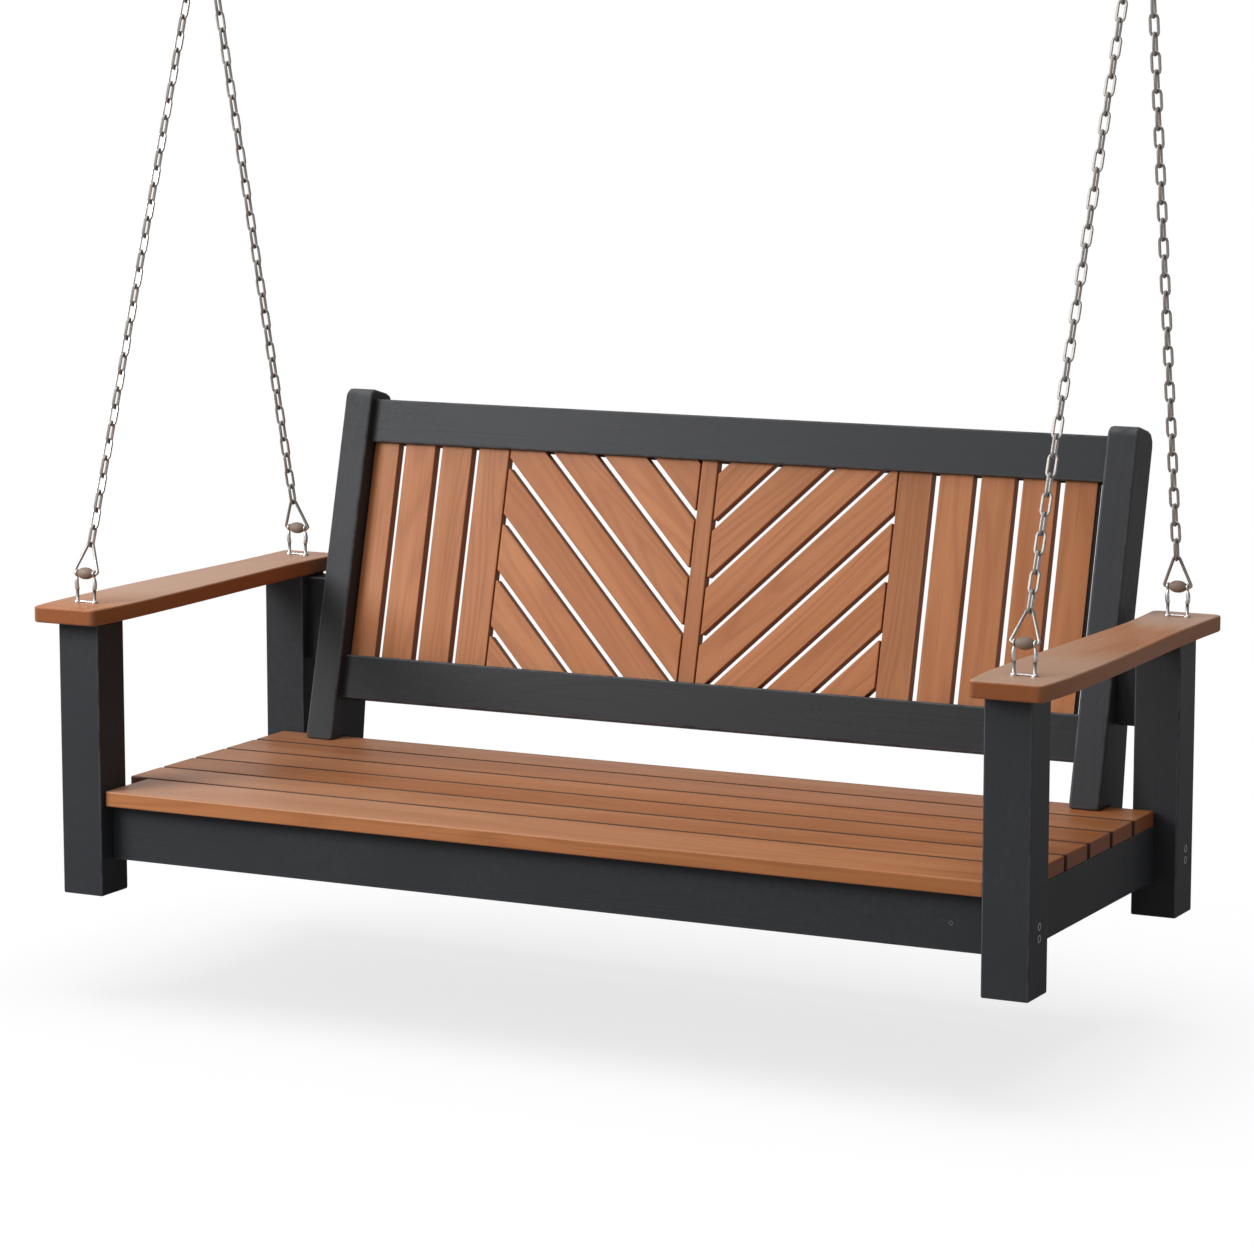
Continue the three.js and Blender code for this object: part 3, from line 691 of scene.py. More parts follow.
@dataclass(frozen=True)
class Metal:
    """Bare or plated steel, dulled by fine scratches, and darker where the piece says: grime, and painted
    shade where chain links meet.
    """

    name: str
    ground: tuple
    grime_and_shade: tuple
    roughness: tuple
    mottle_scale: float = 260.0
    scratch_scale: float = 900.0
    clouding: float = 0.22
    cloud_edge: tuple = (0.45, 0.75)
    unevenness: tuple = (0.55, 1.15)  # how much of its darkening shows where it is thinnest and thickest
    dusty_roughness: float = 0.12
    darkened_metal: float = 0.55  # how metallic it is where it is fully darkened
    scratch_depth: float = 0.00006

    def material(self, effects: Effects) -> bpy.types.Material:
        """Makes the material.

        Args:
            effects: the shared groups.

        Returns:
            The material, which reads from the piece how dark it is: grime, and painted shade where chain
            links meet.
        """
        material, wiring, shader = started(self.name)
        place = wiring.add("TexCoord").outputs["Object"]
        mottle = wiring.noise(place, (self.mottle_scale,) * 3, 3.0)
        scratches = wiring.noise(place, (self.scratch_scale,) * 3)
        uneven = wiring.between(mottle, *self.unevenness)
        # grime, and painted shade where chain links meet, as the piece gives it
        darkened = wiring.math("MULTIPLY", wiring.attribute("grime_and_shade"), uneven, clamp=True)
        clouds = wiring.times(wiring.window(mottle, *self.cloud_edge), self.clouding)
        clouded = wiring.math("ADD", darkened, clouds, clamp=True)
        dust = wiring.shared(effects.dust, Vector=place).outputs["Mask"]
        roughness = wiring.between(scratches, *self.roughness)
        wiring.join(
            shader,
            Base_Color=wiring.blend(clouded, self.ground, self.grime_and_shade),
            Roughness=wiring.math("ADD", roughness, wiring.times(dust, self.dusty_roughness)),
            Metallic=wiring.between(darkened, 1.0, self.darkened_metal),
            Normal=wiring.bump(scratches, self.scratch_depth),
        )
        return material


@dataclass(frozen=True)
class SpacerPlastic:
    """Matt moulded plastic, grey-brown."""

    ground: tuple = (0.205, 0.140, 0.105, 1)
    pale: tuple = (0.280, 0.210, 0.165, 1)
    dust: float = 0.6
    roughness: tuple = (0.5, 0.66)
    texture_scale: float = 1500.0
    texture_depth: float = 0.00008

    def material(self, effects: Effects) -> bpy.types.Material:
        """Makes the material.

        Args:
            effects: the shared node groups.

        Returns:
            The material, on Object coordinates.
        """
        material, wiring, shader = started("spacer_plastic")
        place = wiring.add("TexCoord").outputs["Object"]
        dust = wiring.times(wiring.shared(effects.dust, Vector=place).outputs["Mask"], self.dust)
        texture = wiring.noise(place, (self.texture_scale,) * 3)
        wiring.join(
            shader,
            Base_Color=wiring.blend(dust, self.ground, self.pale),
            Roughness=wiring.between(texture, *self.roughness),
            Normal=wiring.bump(texture, self.texture_depth),
        )
        return material


@dataclass
class Finishes:
    """Every material of the swing, made once."""

    timber: bpy.types.Material
    paint: bpy.types.Material
    chain: bpy.types.Material
    plated: bpy.types.Material
    spacer: bpy.types.Material

    @classmethod
    def made(cls) -> "Finishes":
        """Makes them all.

        Returns:
            The finishes.
        """
        effects = Effects()
        chain_steel = Metal("chain_steel", (0.48, 0.445, 0.42, 1), (0.035, 0.03, 0.027, 1), (0.34, 0.52))
        plated_steel = Metal("plated_steel", (0.68, 0.66, 0.645, 1), (0.06, 0.055, 0.05, 1), (0.20, 0.36))
        return cls(
            StainedTimber().material(effects),
            DarkPaint().material(effects),
            chain_steel.material(effects),
            plated_steel.material(effects),
            SpacerPlastic().material(effects),
        )


# ---- Pieces ----


def make_piece(
    name: str,
    surface: Surface,
    material: bpy.types.Material,
    body: str,
    replaces: Sequence[str] = (),
) -> bpy.types.Object:
    """Makes a finished piece from a surface.

    Args:
        name: the piece's name.
        surface: its shape. Without normals of its own it is shaded by the angles between its faces.
        material: its finish.
        body: the CAD body it rides on.
        replaces: the CAD nodes it stands for.

    Returns:
        The object, which sits at the origin.
    """
    mesh = bpy.data.meshes.new(name)
    mesh.from_pydata(surface.points.tolist(), [], surface.faces)
    for label, values in surface.attributes.items():
        vector = values.ndim == 2
        attribute = mesh.attributes.new(label, "FLOAT_VECTOR" if vector else "FLOAT", "POINT")
        attribute.data.foreach_set("vector" if vector else "value", values.astype(np.float32).ravel())
    mesh.shade_smooth()
    if surface.normals is None:
        mesh.set_sharp_from_angle(angle=SHARP_EDGE)
    else:
        mesh.normals_split_custom_set_from_vertices(surface.normals.tolist())
    mesh.materials.append(material)
    mesh.validate()
    piece = bpy.data.objects.new(name, mesh)
    bpy.context.scene.collection.objects.link(piece)
    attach(piece, body)
    if replaces:
        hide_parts(*replaces)
    log.info("%s: %d faces on %s", name, len(mesh.polygons), body)
    return piece


@dataclass
class Grain:
    """Draws each board's place in the timber, so that no two boards match."""

    draw: np.random.Generator = field(default_factory=lambda: np.random.default_rng(7))
    log_size: float = 9.0
    middle_tone: float = 0.5
    tone_spread: float = 0.07

    def add(
        self,
        surface: Surface,
        along: Array,
        face: Array,
        tone: Array | float | None = None,
        sheen: Array | float = 0.0,
    ) -> None:
        """Adds what the timber finishes read.

        That is "grain" and "tone", "sheen", a painted sheen where the board faces up, "end" where it faces
        along the grain, and "side_shade", a painted shade where it faces away from the wide face.

        Args:
            surface: the board, with normals.
            along: unit direction of its grain.
            face: unit normal of its wide face.
            tone: how light the board is, 0 to 1, drawn near the middle where none is given.
            sheen: how much painted sheen its upper face takes.
        """
        spot = self.draw.uniform(-self.log_size, self.log_size, 3)
        drawn = self.draw.normal(self.middle_tone, self.tone_spread)
        axes = np.stack([along, np.cross(face, along), face])
        count = len(surface.points)
        surface.attributes["grain"] = surface.points @ axes.T + spot
        surface.attributes["tone"] = np.full(count, drawn if tone is None else tone)
        # painted sheen, the more the face points up
        surface.attributes["sheen"] = sheen * np.clip(surface.normals[:, 2], 0, 1)
        # no painted gap shade unless the board gives some
        surface.attributes.setdefault("gap_shade", np.zeros(count))
        surface.attributes["end"] = np.abs(surface.normals @ along)
        # painted shade on the faces that turn away from the wide face
        surface.attributes["side_shade"] = 1 - np.abs(surface.normals @ face)


@dataclass
class Workshop:
    """What the sub-assemblies share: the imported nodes, the finishes and the grain."""

    nodes: dict[str, bpy.types.Object]
    finishes: Finishes
    grain: Grain = field(default_factory=Grain)

    def board(
        self,
        node: str,
        surface: Surface,
        along: Array,
        face: Array,
        slot: Slot,
        tone: Array | float | None = None,
        sheen: Array | float = 0.0,
    ) -> bpy.types.Object:
        """Makes a board that stands for one CAD node of the swing.

        Args:
            node: the CAD node, whose name the board takes.
            surface: its shape.
            along: direction of its grain.
            face: normal of its wide face.
            slot: painted or stained.
            tone: how light the board is.
            sheen: how much painted sheen its upper face takes.

        Returns:
            The piece.
        """
        material = self.finishes.timber if slot is Slot.BOARDS else self.finishes.paint
        self.grain.add(surface, along, face, tone, sheen)
        return make_piece(f"{node}_board", surface, material, Body.SWING.value, [node])

    @staticmethod
    def scale_side_shade(board: bpy.types.Object, share: float) -> None:
        """Takes some of the painted side shade off a board's edges.

        Args:
            board: the finished piece.
            share: how much of the painted shade on its edges stays.
        """
        values = board.data.attributes["side_shade"].data
        read = np.empty(len(values), dtype=np.float32)
        values.foreach_get("value", read)
        values.foreach_set("value", read * share)

    def hardware(
        self,
        name: str,
        surface: Surface,
        material: bpy.types.Material,
        body: Body = Body.SWING,
        replaces: Sequence[str] = (),
    ) -> bpy.types.Object:
        """Makes a steel piece, plain where its surface carries no grime and no painted shade of its own."""
        surface.attributes.setdefault("grime_and_shade", np.zeros(len(surface.points)))
        return make_piece(name, surface, material, body.value, replaces)


def bare(surface: Surface) -> Surface:
    """A surface of clean steel that is shaded by the angles between its faces."""
    return Surface(surface.points, surface.faces, None, {"grime_and_shade": np.zeros(len(surface.points))})


def block(low: Array, high: Array, along: int, ease: float) -> Surface:
    """A squared timber between two corners, rounded along all its edges.

    Args:
        low: its lowest corner.
        high: its highest corner.
        along: the axis that it runs along, 0 to 2.
        ease: radius of its edges.

    Returns:
        The surface.
    """
    u, v = (along + 1) % 3, (along + 2) % 3
    axes = np.eye(3)
    outline = rectangle((low[u], low[v]), (high[u], high[v]))
    placing = Placing(axes[u], axes[v], axes[along] * low[along])
    return eased_board(outline, ease * CORNER_OVER_EASE, high[along] - low[along], ease, placing)


@dataclass
class SeatFrame:
    """The four posts and the rails between them, all painted."""

    shop: Workshop
    ease: float = 0.0027
    block_overlap: float = 0.003  # how far a packing block reaches into its post
    post_tone_and_block_shade: tuple = (0.5, 0.1)  # of a rear post, and of the packing block on it, which is darker as painted shade

    def build(self) -> None:
        """Builds the posts and the rails."""
        for side in ("left", "right"):
            self.timber(f"front_post_{side}", 2)
            self.rear_post(side)
            self.timber(f"side_rail_{side}", 1)
        for name in ("front_rail", "rear_rail"):
            self.timber(name, 0)
        self.timber("seat_bearer", 1)

    def timber(self, node: str, along: int) -> None:
        """Dresses a node that is one squared timber.

        Args:
            node: the CAD node.
            along: the axis it runs along, 0, 1 or 2.
        """
        surface = block(*corners_of(node), along, self.ease)
        face = X if along == 1 else Y
        self.shop.board(node, surface, np.eye(3)[along], face, Slot.FRAME)

    def rear_post(self, side: str) -> None:
        """Dresses a rear post with the packing block on its inner face, with painted shade on the block.

        Args:
            side: left or right.
        """
        node = f"rear_post_{side}"
        sign = 1 if side == "right" else -1
        post_low, post_high = corners_of(node)
        front_low, front_high = corners_of(f"front_post_{side}")
        post_low[0], post_high[0] = front_low[0], front_high[0]
        inner_face = front_low[0] if sign > 0 else front_high[0]
        points = node_points(self.shop.nodes[node])
        inside = points[sign * (inner_face - points[:, 0]) > JOINT_GAP]
        block_low, block_high = inside.min(0), inside.max(0)
        (block_high if sign > 0 else block_low)[0] = inner_face + sign * self.block_overlap
        parts = [block(post_low, post_high, 2, self.ease), block(block_low, block_high, 2, self.ease)]
        tone = np.repeat(self.post_tone_and_block_shade, [len(part.points) for part in parts])
        self.shop.board(node, joined(parts), Z, Y, Slot.FRAME, tone)


@dataclass
class Arms:
    """The two waisted arm boards."""

    shop: Workshop
    ease: float = 0.0031
    corner: float = 0.0095
    curve: float = 0.06
    # Tone, how much painted sheen the upper face takes at its front, in its middle and at its rear, and the
    # shares of its length where the first ends, the second begins and ends, and the third begins.
    tone_and_sheen: dict = field(
        default_factory=lambda: {
            "left": (0.52, (0.0, 0.85, 0.66), (0.03, 0.2, 0.65, 0.9)),
            "right": (0.60, (1.0, 0.0, 0.95), (0.3, 0.56, 0.7, 0.84)),
        }
    )
    # Share of the length, overhang outside the posts, overhang inside them.
    outline: Array = field(
        default_factory=lambda: np.array(
            [
                [0, 0.024, 0.011],
                [0.13, 0.031, 0.018],
                [0.38, 0.031, 0.015],
                [0.62, 0.026, 0.009],
                [0.82, 0.023, 0.005],
                [1, 0.025, 0.011],
            ]
        )
    )

    def build(self) -> None:
        """Builds both arms."""
        low, high = corners_of("arm_right")
        post_inner, post_outer = (corner[0] for corner in corners_of("front_post_right"))
        run = low[1] + self.outline[:, 0] * (high[1] - low[1])
        outer = flowing(np.stack([post_outer + self.outline[:, 1], run], 1))
        inner = flowing(np.stack([post_inner - self.outline[:, 2], run], 1))[::-1]
        right = np.concatenate([outer, inner])
        radii = np.full(len(right), self.curve)
        radii[[0, len(outer) - 1, len(outer), -1]] = self.corner
        for side, plan in (("right", right), ("left", right[::-1] * (-1, 1))):
            placing = Placing(X, Y, Z * low[2])
            order = radii if side == "right" else radii[::-1]
            surface = eased_board(plan, order, high[2] - low[2], self.ease, placing)
            tone, (front, middle, rear), shares = self.tone_and_sheen[side]
            share = (surface.points[:, 1] - low[1]) / (high[1] - low[1])
            # painted sheen along the upper face
            sheen = np.interp(share, shares, (front, middle, middle, rear))
            self.shop.board(f"arm_{side}", surface, Y, Z, Slot.BOARDS, tone, sheen)


@dataclass
class Seat:
    """Six seat slats, the front one wider."""

    shop: Workshop
    ease: float = 0.0025
    corner: float = 0.0045
    tones: tuple = (0.50, 0.44, 0.38, 0.46, 0.38, 0.42)
    # How much painted sheen the slats take at their left ends, and in their middles.
    sheen_amount: tuple = (0.52, 0.34, 0.12, 0.20, 0.18, 0.18)
    middle_sheen: float = 0.15
    sheen_reach: float = 0.60  # from the middle to where the ends' painted sheen is whole
    highlight_from: float = 0.1  # edges with less painted gap shade than this keep the painted highlight
    front_edge: float = 0.2  # how much of the painted shade on its edges the front slat keeps
    gap_shade: float = 2.4  # how soon a rounded edge beside a gap takes the painted shade

    def build(self) -> None:
        """Builds the slats from the front one back."""
        for number, (tone, sheen_amount) in enumerate(zip(self.tones, self.sheen_amount), 1):
            node = f"seat_slat_{number}"
            low, high = corners_of(node)
            plan = rectangle(low[:2], high[:2])
            surface = eased_board(plan, self.corner, high[2] - low[2], self.ease, Placing(X, Y, Z * low[2]))
            reach = (-self.sheen_reach, 0.0, self.sheen_reach)
            # painted sheen, strongest towards the left ends
            sheen = np.interp(surface.points[:, 0], reach, (sheen_amount, self.middle_sheen, 0))
            # painted shade on the rounded edges that face a gap; the front slat has a gap only behind it
            between = np.abs(surface.normals[:, 1]) if number > 1 else surface.normals[:, 1]
            surface.attributes["gap_shade"] = np.clip(between * self.gap_shade, 0, 1)
            # the painted highlight stays off the edges that take the painted gap shade
            surface.attributes["edge"] *= surface.attributes["gap_shade"] < self.highlight_from
            slat = self.shop.board(node, surface, X, Z, Slot.BOARDS, tone, sheen)
            if number == 1:
                self.shop.scale_side_shade(slat, self.front_edge)


@dataclass
class Back:
    """The raked back: uprights, grooved rails, and the slats and boards between them."""

    shop: Workshop
    foot_setback: float = 0.045  # front of the uprights ahead of the seat's rear edge
    upright_depth: float = 0.070
    upright_length: float = 0.541
    upright_ease: float = 0.0045
    front_round: float = 0.015
    rear_round: float = 0.021
    rail_ease: float = 0.0034
    tongue_thickness: float = 0.022
    notch_round: float = 0.002
    bend_round: float = 0.05
    rail_end_ease: float = 0.0007
    groove: tuple = (0.0267, 0.0433, 0.010)  # front and back of the groove, and its depth
    groove_ease: float = 0.001
    rail_tones: dict = field(default_factory=lambda: {"bottom": 0.15, "top": 0.54})
    stile_tone: float = 0.38
    slat_tones: dict = field(
        default_factory=lambda: {"left": (0.47, 0.44, 0.50, 0.42), "right": (0.32, 0.48, 0.44, 0.50, 0.46)}
    )
    chevron_tones: dict = field(
        default_factory=lambda: {
            "left": (0.47, 0.55, 0.49, 0.57, 0.50, 0.54, 0.48, 0.52),
            "right": (0.50, 0.46, 0.53, 0.48, 0.56, 0.50, 0.54),
        }
    )
    climb: dict = field(default_factory=lambda: {"left": 135, "right": 45})  # of the chevrons' grain
    infill_ease: float = 0.0017
    infill_corner: float = 0.001785
    upright_gap: float = 0.0005
    close_up: float = 0.002  # how far the last slats close up to the uprights
    last_margin: float = 0.018  # how near an upright a slat counts as the last
    facing_upright: float = 0.3  # how squarely an edge must face the upright to count

    def build(self) -> None:
        """Builds the whole back."""
        for side in ("left", "right"):
            self.upright(side)
        for place, tone in self.rail_tones.items():
            self.rail(f"back_{place}_rail", place == "bottom", tone)
        self.infill("back_stile", 90, self.stile_tone)
        for side, tones in self.slat_tones.items():
            for number, tone in enumerate(tones, 1):
                self.infill(f"back_slat_{side}_{number}", 90, tone)
        for side, tones in self.chevron_tones.items():
            for number, tone in enumerate(tones, 1):
                self.infill(f"chevron_{side}_{number}", self.climb[side], tone)

    @property
    def foot(self) -> Array:
        """The point at seat height that places on the back are measured from."""
        rear, top = corners_of("seat_slat_6")[1][1:]
        return Y * (rear - self.foot_setback) + Z * top

    def spot(self, behind: float, along: float) -> tuple[float, float]:
        """A point of the back as Y and Z: behind the uprights' face, and along the rake from the seat."""
        point = self.foot + behind * BEHIND_THE_RAKE + along * UP_THE_RAKE
        return point[1], point[2]

    def along_at(self, behind: float, z: float) -> float:
        """How far up the rake a line behind the uprights' face crosses a height."""
        return (z - self.foot[2] + behind * math.sin(RAKE)) / math.cos(RAKE)

    def upright(self, side: str) -> None:
        """Builds an upright: a raked blade that widens to a foot, whose tongue drops behind the seat.

        Args:
            side: left or right.
        """
        low, high = corners_of(f"back_upright_{side}")
        rail_back, rail_top = corners_of("rear_rail")[1][1:]
        lip, heel = self.foot[2] + JOINT_GAP, rail_top + JOINT_GAP
        tongue = corners_of("seat_slat_6")[1][1] + JOINT_GAP
        tongue_back = tongue + self.tongue_thickness
        bend = self.along_at(self.upright_depth, corners_of("rear_post_left")[1][2])
        corners = np.array(
            [
                self.spot(0, self.along_at(0, lip)),
                (tongue, lip),
                (tongue, low[2]),
                (tongue_back, low[2]),
                (tongue_back, heel),
                (rail_back, heel),
                self.spot(self.upright_depth, bend),
                self.spot(self.upright_depth, self.upright_length),
                self.spot(0, self.upright_length),
            ]
        )
        tight, notch = self.upright_ease * CORNER_OVER_EASE, self.notch_round
        rounds = [self.bend_round, self.rear_round, self.front_round]
        radii = np.array([tight, notch, tight, tight, notch, tight, *rounds])
        placing = Placing(Y, Z, X * low[0])
        surface = eased_board(corners, radii, high[0] - low[0], self.upright_ease, placing)
        self.shop.board(f"back_upright_{side}", surface, UP_THE_RAKE, X, Slot.FRAME)

    def rail(self, node: str, groove_on_top: bool, tone: float) -> None:
        """Builds a back rail: its grooved section carried along X.

        Args:
            node: the CAD node.
            groove_on_top: whether the groove is in the upper edge, or else in the lower one.
            tone: how light its paint is.
        """
        points = node_points(self.shop.nodes[node]) - self.foot
        behind, along = points @ BEHIND_THE_RAKE, points @ UP_THE_RAKE
        front, back, bottom, top = behind.min(), behind.max(), along.min(), along.max()
        left, right = points[:, 0].min(), points[:, 0].max()
        near, far, depth = self.groove
        mouth, floor = (top, top - depth) if groove_on_top else (bottom, bottom + depth)
        notch = [(far, mouth), (far, floor), (near, floor), (near, mouth)]
        sides = [(front, bottom), (back, bottom), (back, top), (front, top)]
        order = sides[:3] + notch + sides[3:] if groove_on_top else sides[:1] + notch[::-1] + sides[1:]
        radii = [self.groove_ease if corner in notch else self.rail_ease for corner in order]
        placing = Placing(BEHIND_THE_RAKE, UP_THE_RAKE, self.foot + X * left)
        surface = eased_board(np.array(order), np.array(radii), right - left, self.rail_end_ease, placing)
        self.shop.board(node, surface, X, -BEHIND_THE_RAKE, Slot.FRAME, tone)

    @staticmethod
    def inner_faces() -> list[tuple[int, float]]:
        """Each upright's side, -1 or 1, with the X of its inner face."""
        return [(-1, corners_of("back_upright_left")[1][0]), (1, corners_of("back_upright_right")[0][0])]

    def beside_uprights(self, surface: Surface) -> Array:
        """Finds where a board turns its edge to an upright close beside it, where it takes painted shade.

        Args:
            surface: the board.

        Returns:
            1 at each such point, 0 elsewhere.
        """
        dark = np.zeros(len(surface.points))
        for sign, inner in self.inner_faces():
            near = sign * (inner - surface.points[:, 0]) < self.last_margin
            dark[near & (sign * surface.normals[:, 0] > self.facing_upright)] = 1
        return dark

    def infill(self, node: str, climb: float, tone: float) -> None:
        """Builds a slat, the stile or a chevron board, from its outline in the plane of the back.

        Args:
            node: the CAD node.
            climb: direction of its grain, in degrees from X towards the top of the back.
            tone: how light the board is.
        """
        points = node_points(self.shop.nodes[node]) - self.foot
        for sign, inner in self.inner_faces():
            beside = sign * (inner - points[:, 0])
            shift = np.clip(beside - self.upright_gap, 0, self.close_up)
            points[:, 0] += np.where(beside < self.last_margin, sign * shift, 0)
        outline = convex_outline(np.stack([points[:, 0], points @ UP_THE_RAKE], 1))
        behind = points @ BEHIND_THE_RAKE
        placing = Placing(X, UP_THE_RAKE, self.foot + BEHIND_THE_RAKE * behind.max())
        thickness = behind.max() - behind.min()
        surface = eased_board(outline, self.infill_corner, thickness, self.infill_ease, placing)
        # painted shade on the edges that face an upright
        surface.attributes["gap_shade"] = self.beside_uprights(surface)
        grain = math.cos(math.radians(climb)) * X + math.sin(math.radians(climb)) * UP_THE_RAKE
        self.shop.board(node, surface, grain, -BEHIND_THE_RAKE, Slot.BOARDS, tone)


@dataclass
class Hanger:
    """One arm hanger and its chain: two eye screws, a spacer on the ring's bar, the ring and the links."""

    shop: Workshop
    end: str
    side: str
    ring_bar: Array
    head: Array
    spacing: float = 0.0285  # between the two legs
    eye_wire: float = 0.0034
    eye_radius: float = 0.0038
    rod: float = 0.0046
    sleeve: float = 0.0062
    sleeve_foot: float = -0.0235  # from the ring's bar
    sleeve_band: float = 0.0006  # how far from the sleeve's foot the darker band reaches
    bulge: float = 0.0012
    foot_diameter: float = 0.0098
    foot_height: float = 0.0042
    tie: float = 0.0028
    tie_lift: float = 0.0002
    screw: float = 0.006
    grip: float = 0.045
    spacer_radius: float = 0.0085
    spacer_end: float = 0.0045
    spacer_half: float = 0.0115
    bore: float = 0.0027
    ring_wire: float = 0.0045
    ring_height: float = 0.044
    base_radius: float = 0.0028
    apex_radius: float = 0.0050
    base_half: float = 0.0165
    pitch: float = 0.0254
    wire: float = 0.0044
    width: float = 0.0155
    top_wire: float = 0.005
    top_radius: float = 0.00735
    shortest_top: float = 0.018
    rod_sides: int = 12
    wire_sides: int = 10
    pad_sides: int = 16
    spacer_sides: int = 28
    spacer_rings: int = 15
    eye_steps: int = 18
    ring_steps: int = 7  # points on each of the ring's three bends
    link_steps: int = 6  # points on each half circle of a link
    link_sides: int = 6
    top_steps: int = 8
    outer_darkening: float = 0.25  # how dark the outside of a link's ends is, over the inside, where the links meet
    crown_power: float = 2.4  # how square the spacer's crown is
    apex_darkening: tuple = (0.7, 0.006)  # how dark the ring is under its apex, and how far that reaches

    def build(self) -> None:
        """Builds the yoke, the spacer and the chain."""
        name = f"{self.end}_{self.side}"
        finishes = self.shop.finishes
        arm_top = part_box(f"arm_{self.side}")[1][2]
        legs = [self.leg(sign, arm_top) for sign in (-1, 1)]
        yoke = joined([piece for leg in legs for piece in leg] + [self.tie_bar(arm_top)])
        self.shop.hardware(f"eye_screws_{name}", yoke, finishes.plated, replaces=[f"hanger_yoke_{name}"])
        body, roller = f"roller_{name}", [f"hanger_roller_{name}"]
        make_piece(f"spacer_{name}", self.spacer(), finishes.spacer, body, roller)
        chain = joined([self.ring(), self.links(), self.top_link()])
        self.shop.hardware(f"links_{name}", chain, finishes.chain, replaces=[f"chain_{name}"])

    def leg(self, sign: int, arm_top: float) -> list[Surface]:
        """One eye screw: its shank in the arm, its foot, its rod, the bent sleeve and the eye.

        Args:
            sign: -1 for the left leg, 1 for the right.
            arm_top: height of the arm's upper face.

        Returns:
            Its surfaces.
        """
        foot = self.ring_bar + X * sign * self.spacing / 2
        drop = arm_top - self.ring_bar[2]
        eye_reach = self.eye_radius + self.eye_wire / 2
        # Height over the ring's bar, outward bend and radius of the round section, from the tip up.
        rows = np.array(
            [
                [drop - self.grip, 0, 0.0006],
                [drop - self.grip + 0.004, 0, self.screw / 2],
                [drop, 0, self.screw / 2],
                [drop + 0.001, 0, self.rod / 2],
                [self.sleeve_foot - 0.0004, 0, self.rod / 2],
                [self.sleeve_foot, 0, self.sleeve * 0.45],
                [self.sleeve_foot + 0.0008, 0.0001, self.sleeve / 2],
                [self.sleeve_foot + 0.0055, self.bulge * 0.8, self.sleeve / 2],
                [self.sleeve_foot + 0.0100, self.bulge, self.sleeve * 0.48],
                [self.sleeve_foot + 0.0145, self.bulge * 0.5, self.sleeve * 0.42],
                [-eye_reach + 0.0006, 0, self.eye_wire / 2],
            ]
        )
        path = foot + rows[:, :1] * Z + rows[:, 1:2] * sign * X
        stem = tube(path, np.broadcast_to(X, path.shape), Y, rows[:, 2], self.rod_sides)
        dome = np.array([[1, 0], [1, 0.35], [0.93, 0.62], [0.74, 0.86], [0.52, 1]])
        pad = turned(dome * (self.foot_diameter / 2, self.foot_height), foot + Z * drop, Z, X, self.pad_sides)
        angle = 2 * np.pi * np.arange(self.eye_steps) / self.eye_steps
        outward = np.cos(angle)[:, None] * Y + np.sin(angle)[:, None] * Z
        eye = tube(foot + self.eye_radius * outward, outward, -X, self.eye_wire / 2, self.wire_sides, True)
        # darker in a narrow band at the sleeve's foot
        dark = np.abs(rows[:, 0] - self.sleeve_foot) < self.sleeve_band
        stem.attributes["grime_and_shade"] = np.repeat(dark.astype(float), self.rod_sides)
        return [stem, bare(pad), bare(eye)]

    def tie_bar(self, arm_top: float) -> Surface:
        """The slim bar that joins the two feet on the arm.

        Args:
            arm_top: height of the arm's upper face.

        Returns:
            Its surface.
        """
        ends = np.linspace(-1, 1, 2)[:, None] * X * self.spacing / 2
        middle = self.ring_bar * (1, 1, 0) + Z * (arm_top + self.tie / 2 + self.tie_lift)
        bar = tube(middle + ends, np.broadcast_to(Y, (2, 3)), Z, self.tie / 2, self.wire_sides)
        return bare(bar)

    def spacer(self) -> Surface:
        """A crowned spacer: its radius falls from the middle to the ends as a rounded arch.

        Returns:
            Its surface, with the bore.
        """
        run = np.linspace(-1, 1, self.spacer_rings)
        arch = 1 - np.abs(run) ** self.crown_power
        crown = self.spacer_end + (self.spacer_radius - self.spacer_end) * arch
        outside = np.stack([crown, run * self.spacer_half], 1)
        lip = np.array([[self.bore, self.spacer_half], [self.bore, -self.spacer_half]])
        profile = np.concatenate([outside, lip])
        return turned(profile, self.ring_bar, X, Y, self.spacer_sides, closed=True)

    @property
    def way(self) -> tuple[Array, Array, Array, float]:
        """The chain's line.

        Returns:
            Its direction, the direction across it, the one ahead of it, and its length.
        """
        span = self.head - self.ring_bar
        length = float(np.linalg.norm(span))
        up = span / length
        across = X - up * up[0]
        across /= np.linalg.norm(across)
        return up, across, np.cross(across, up), length

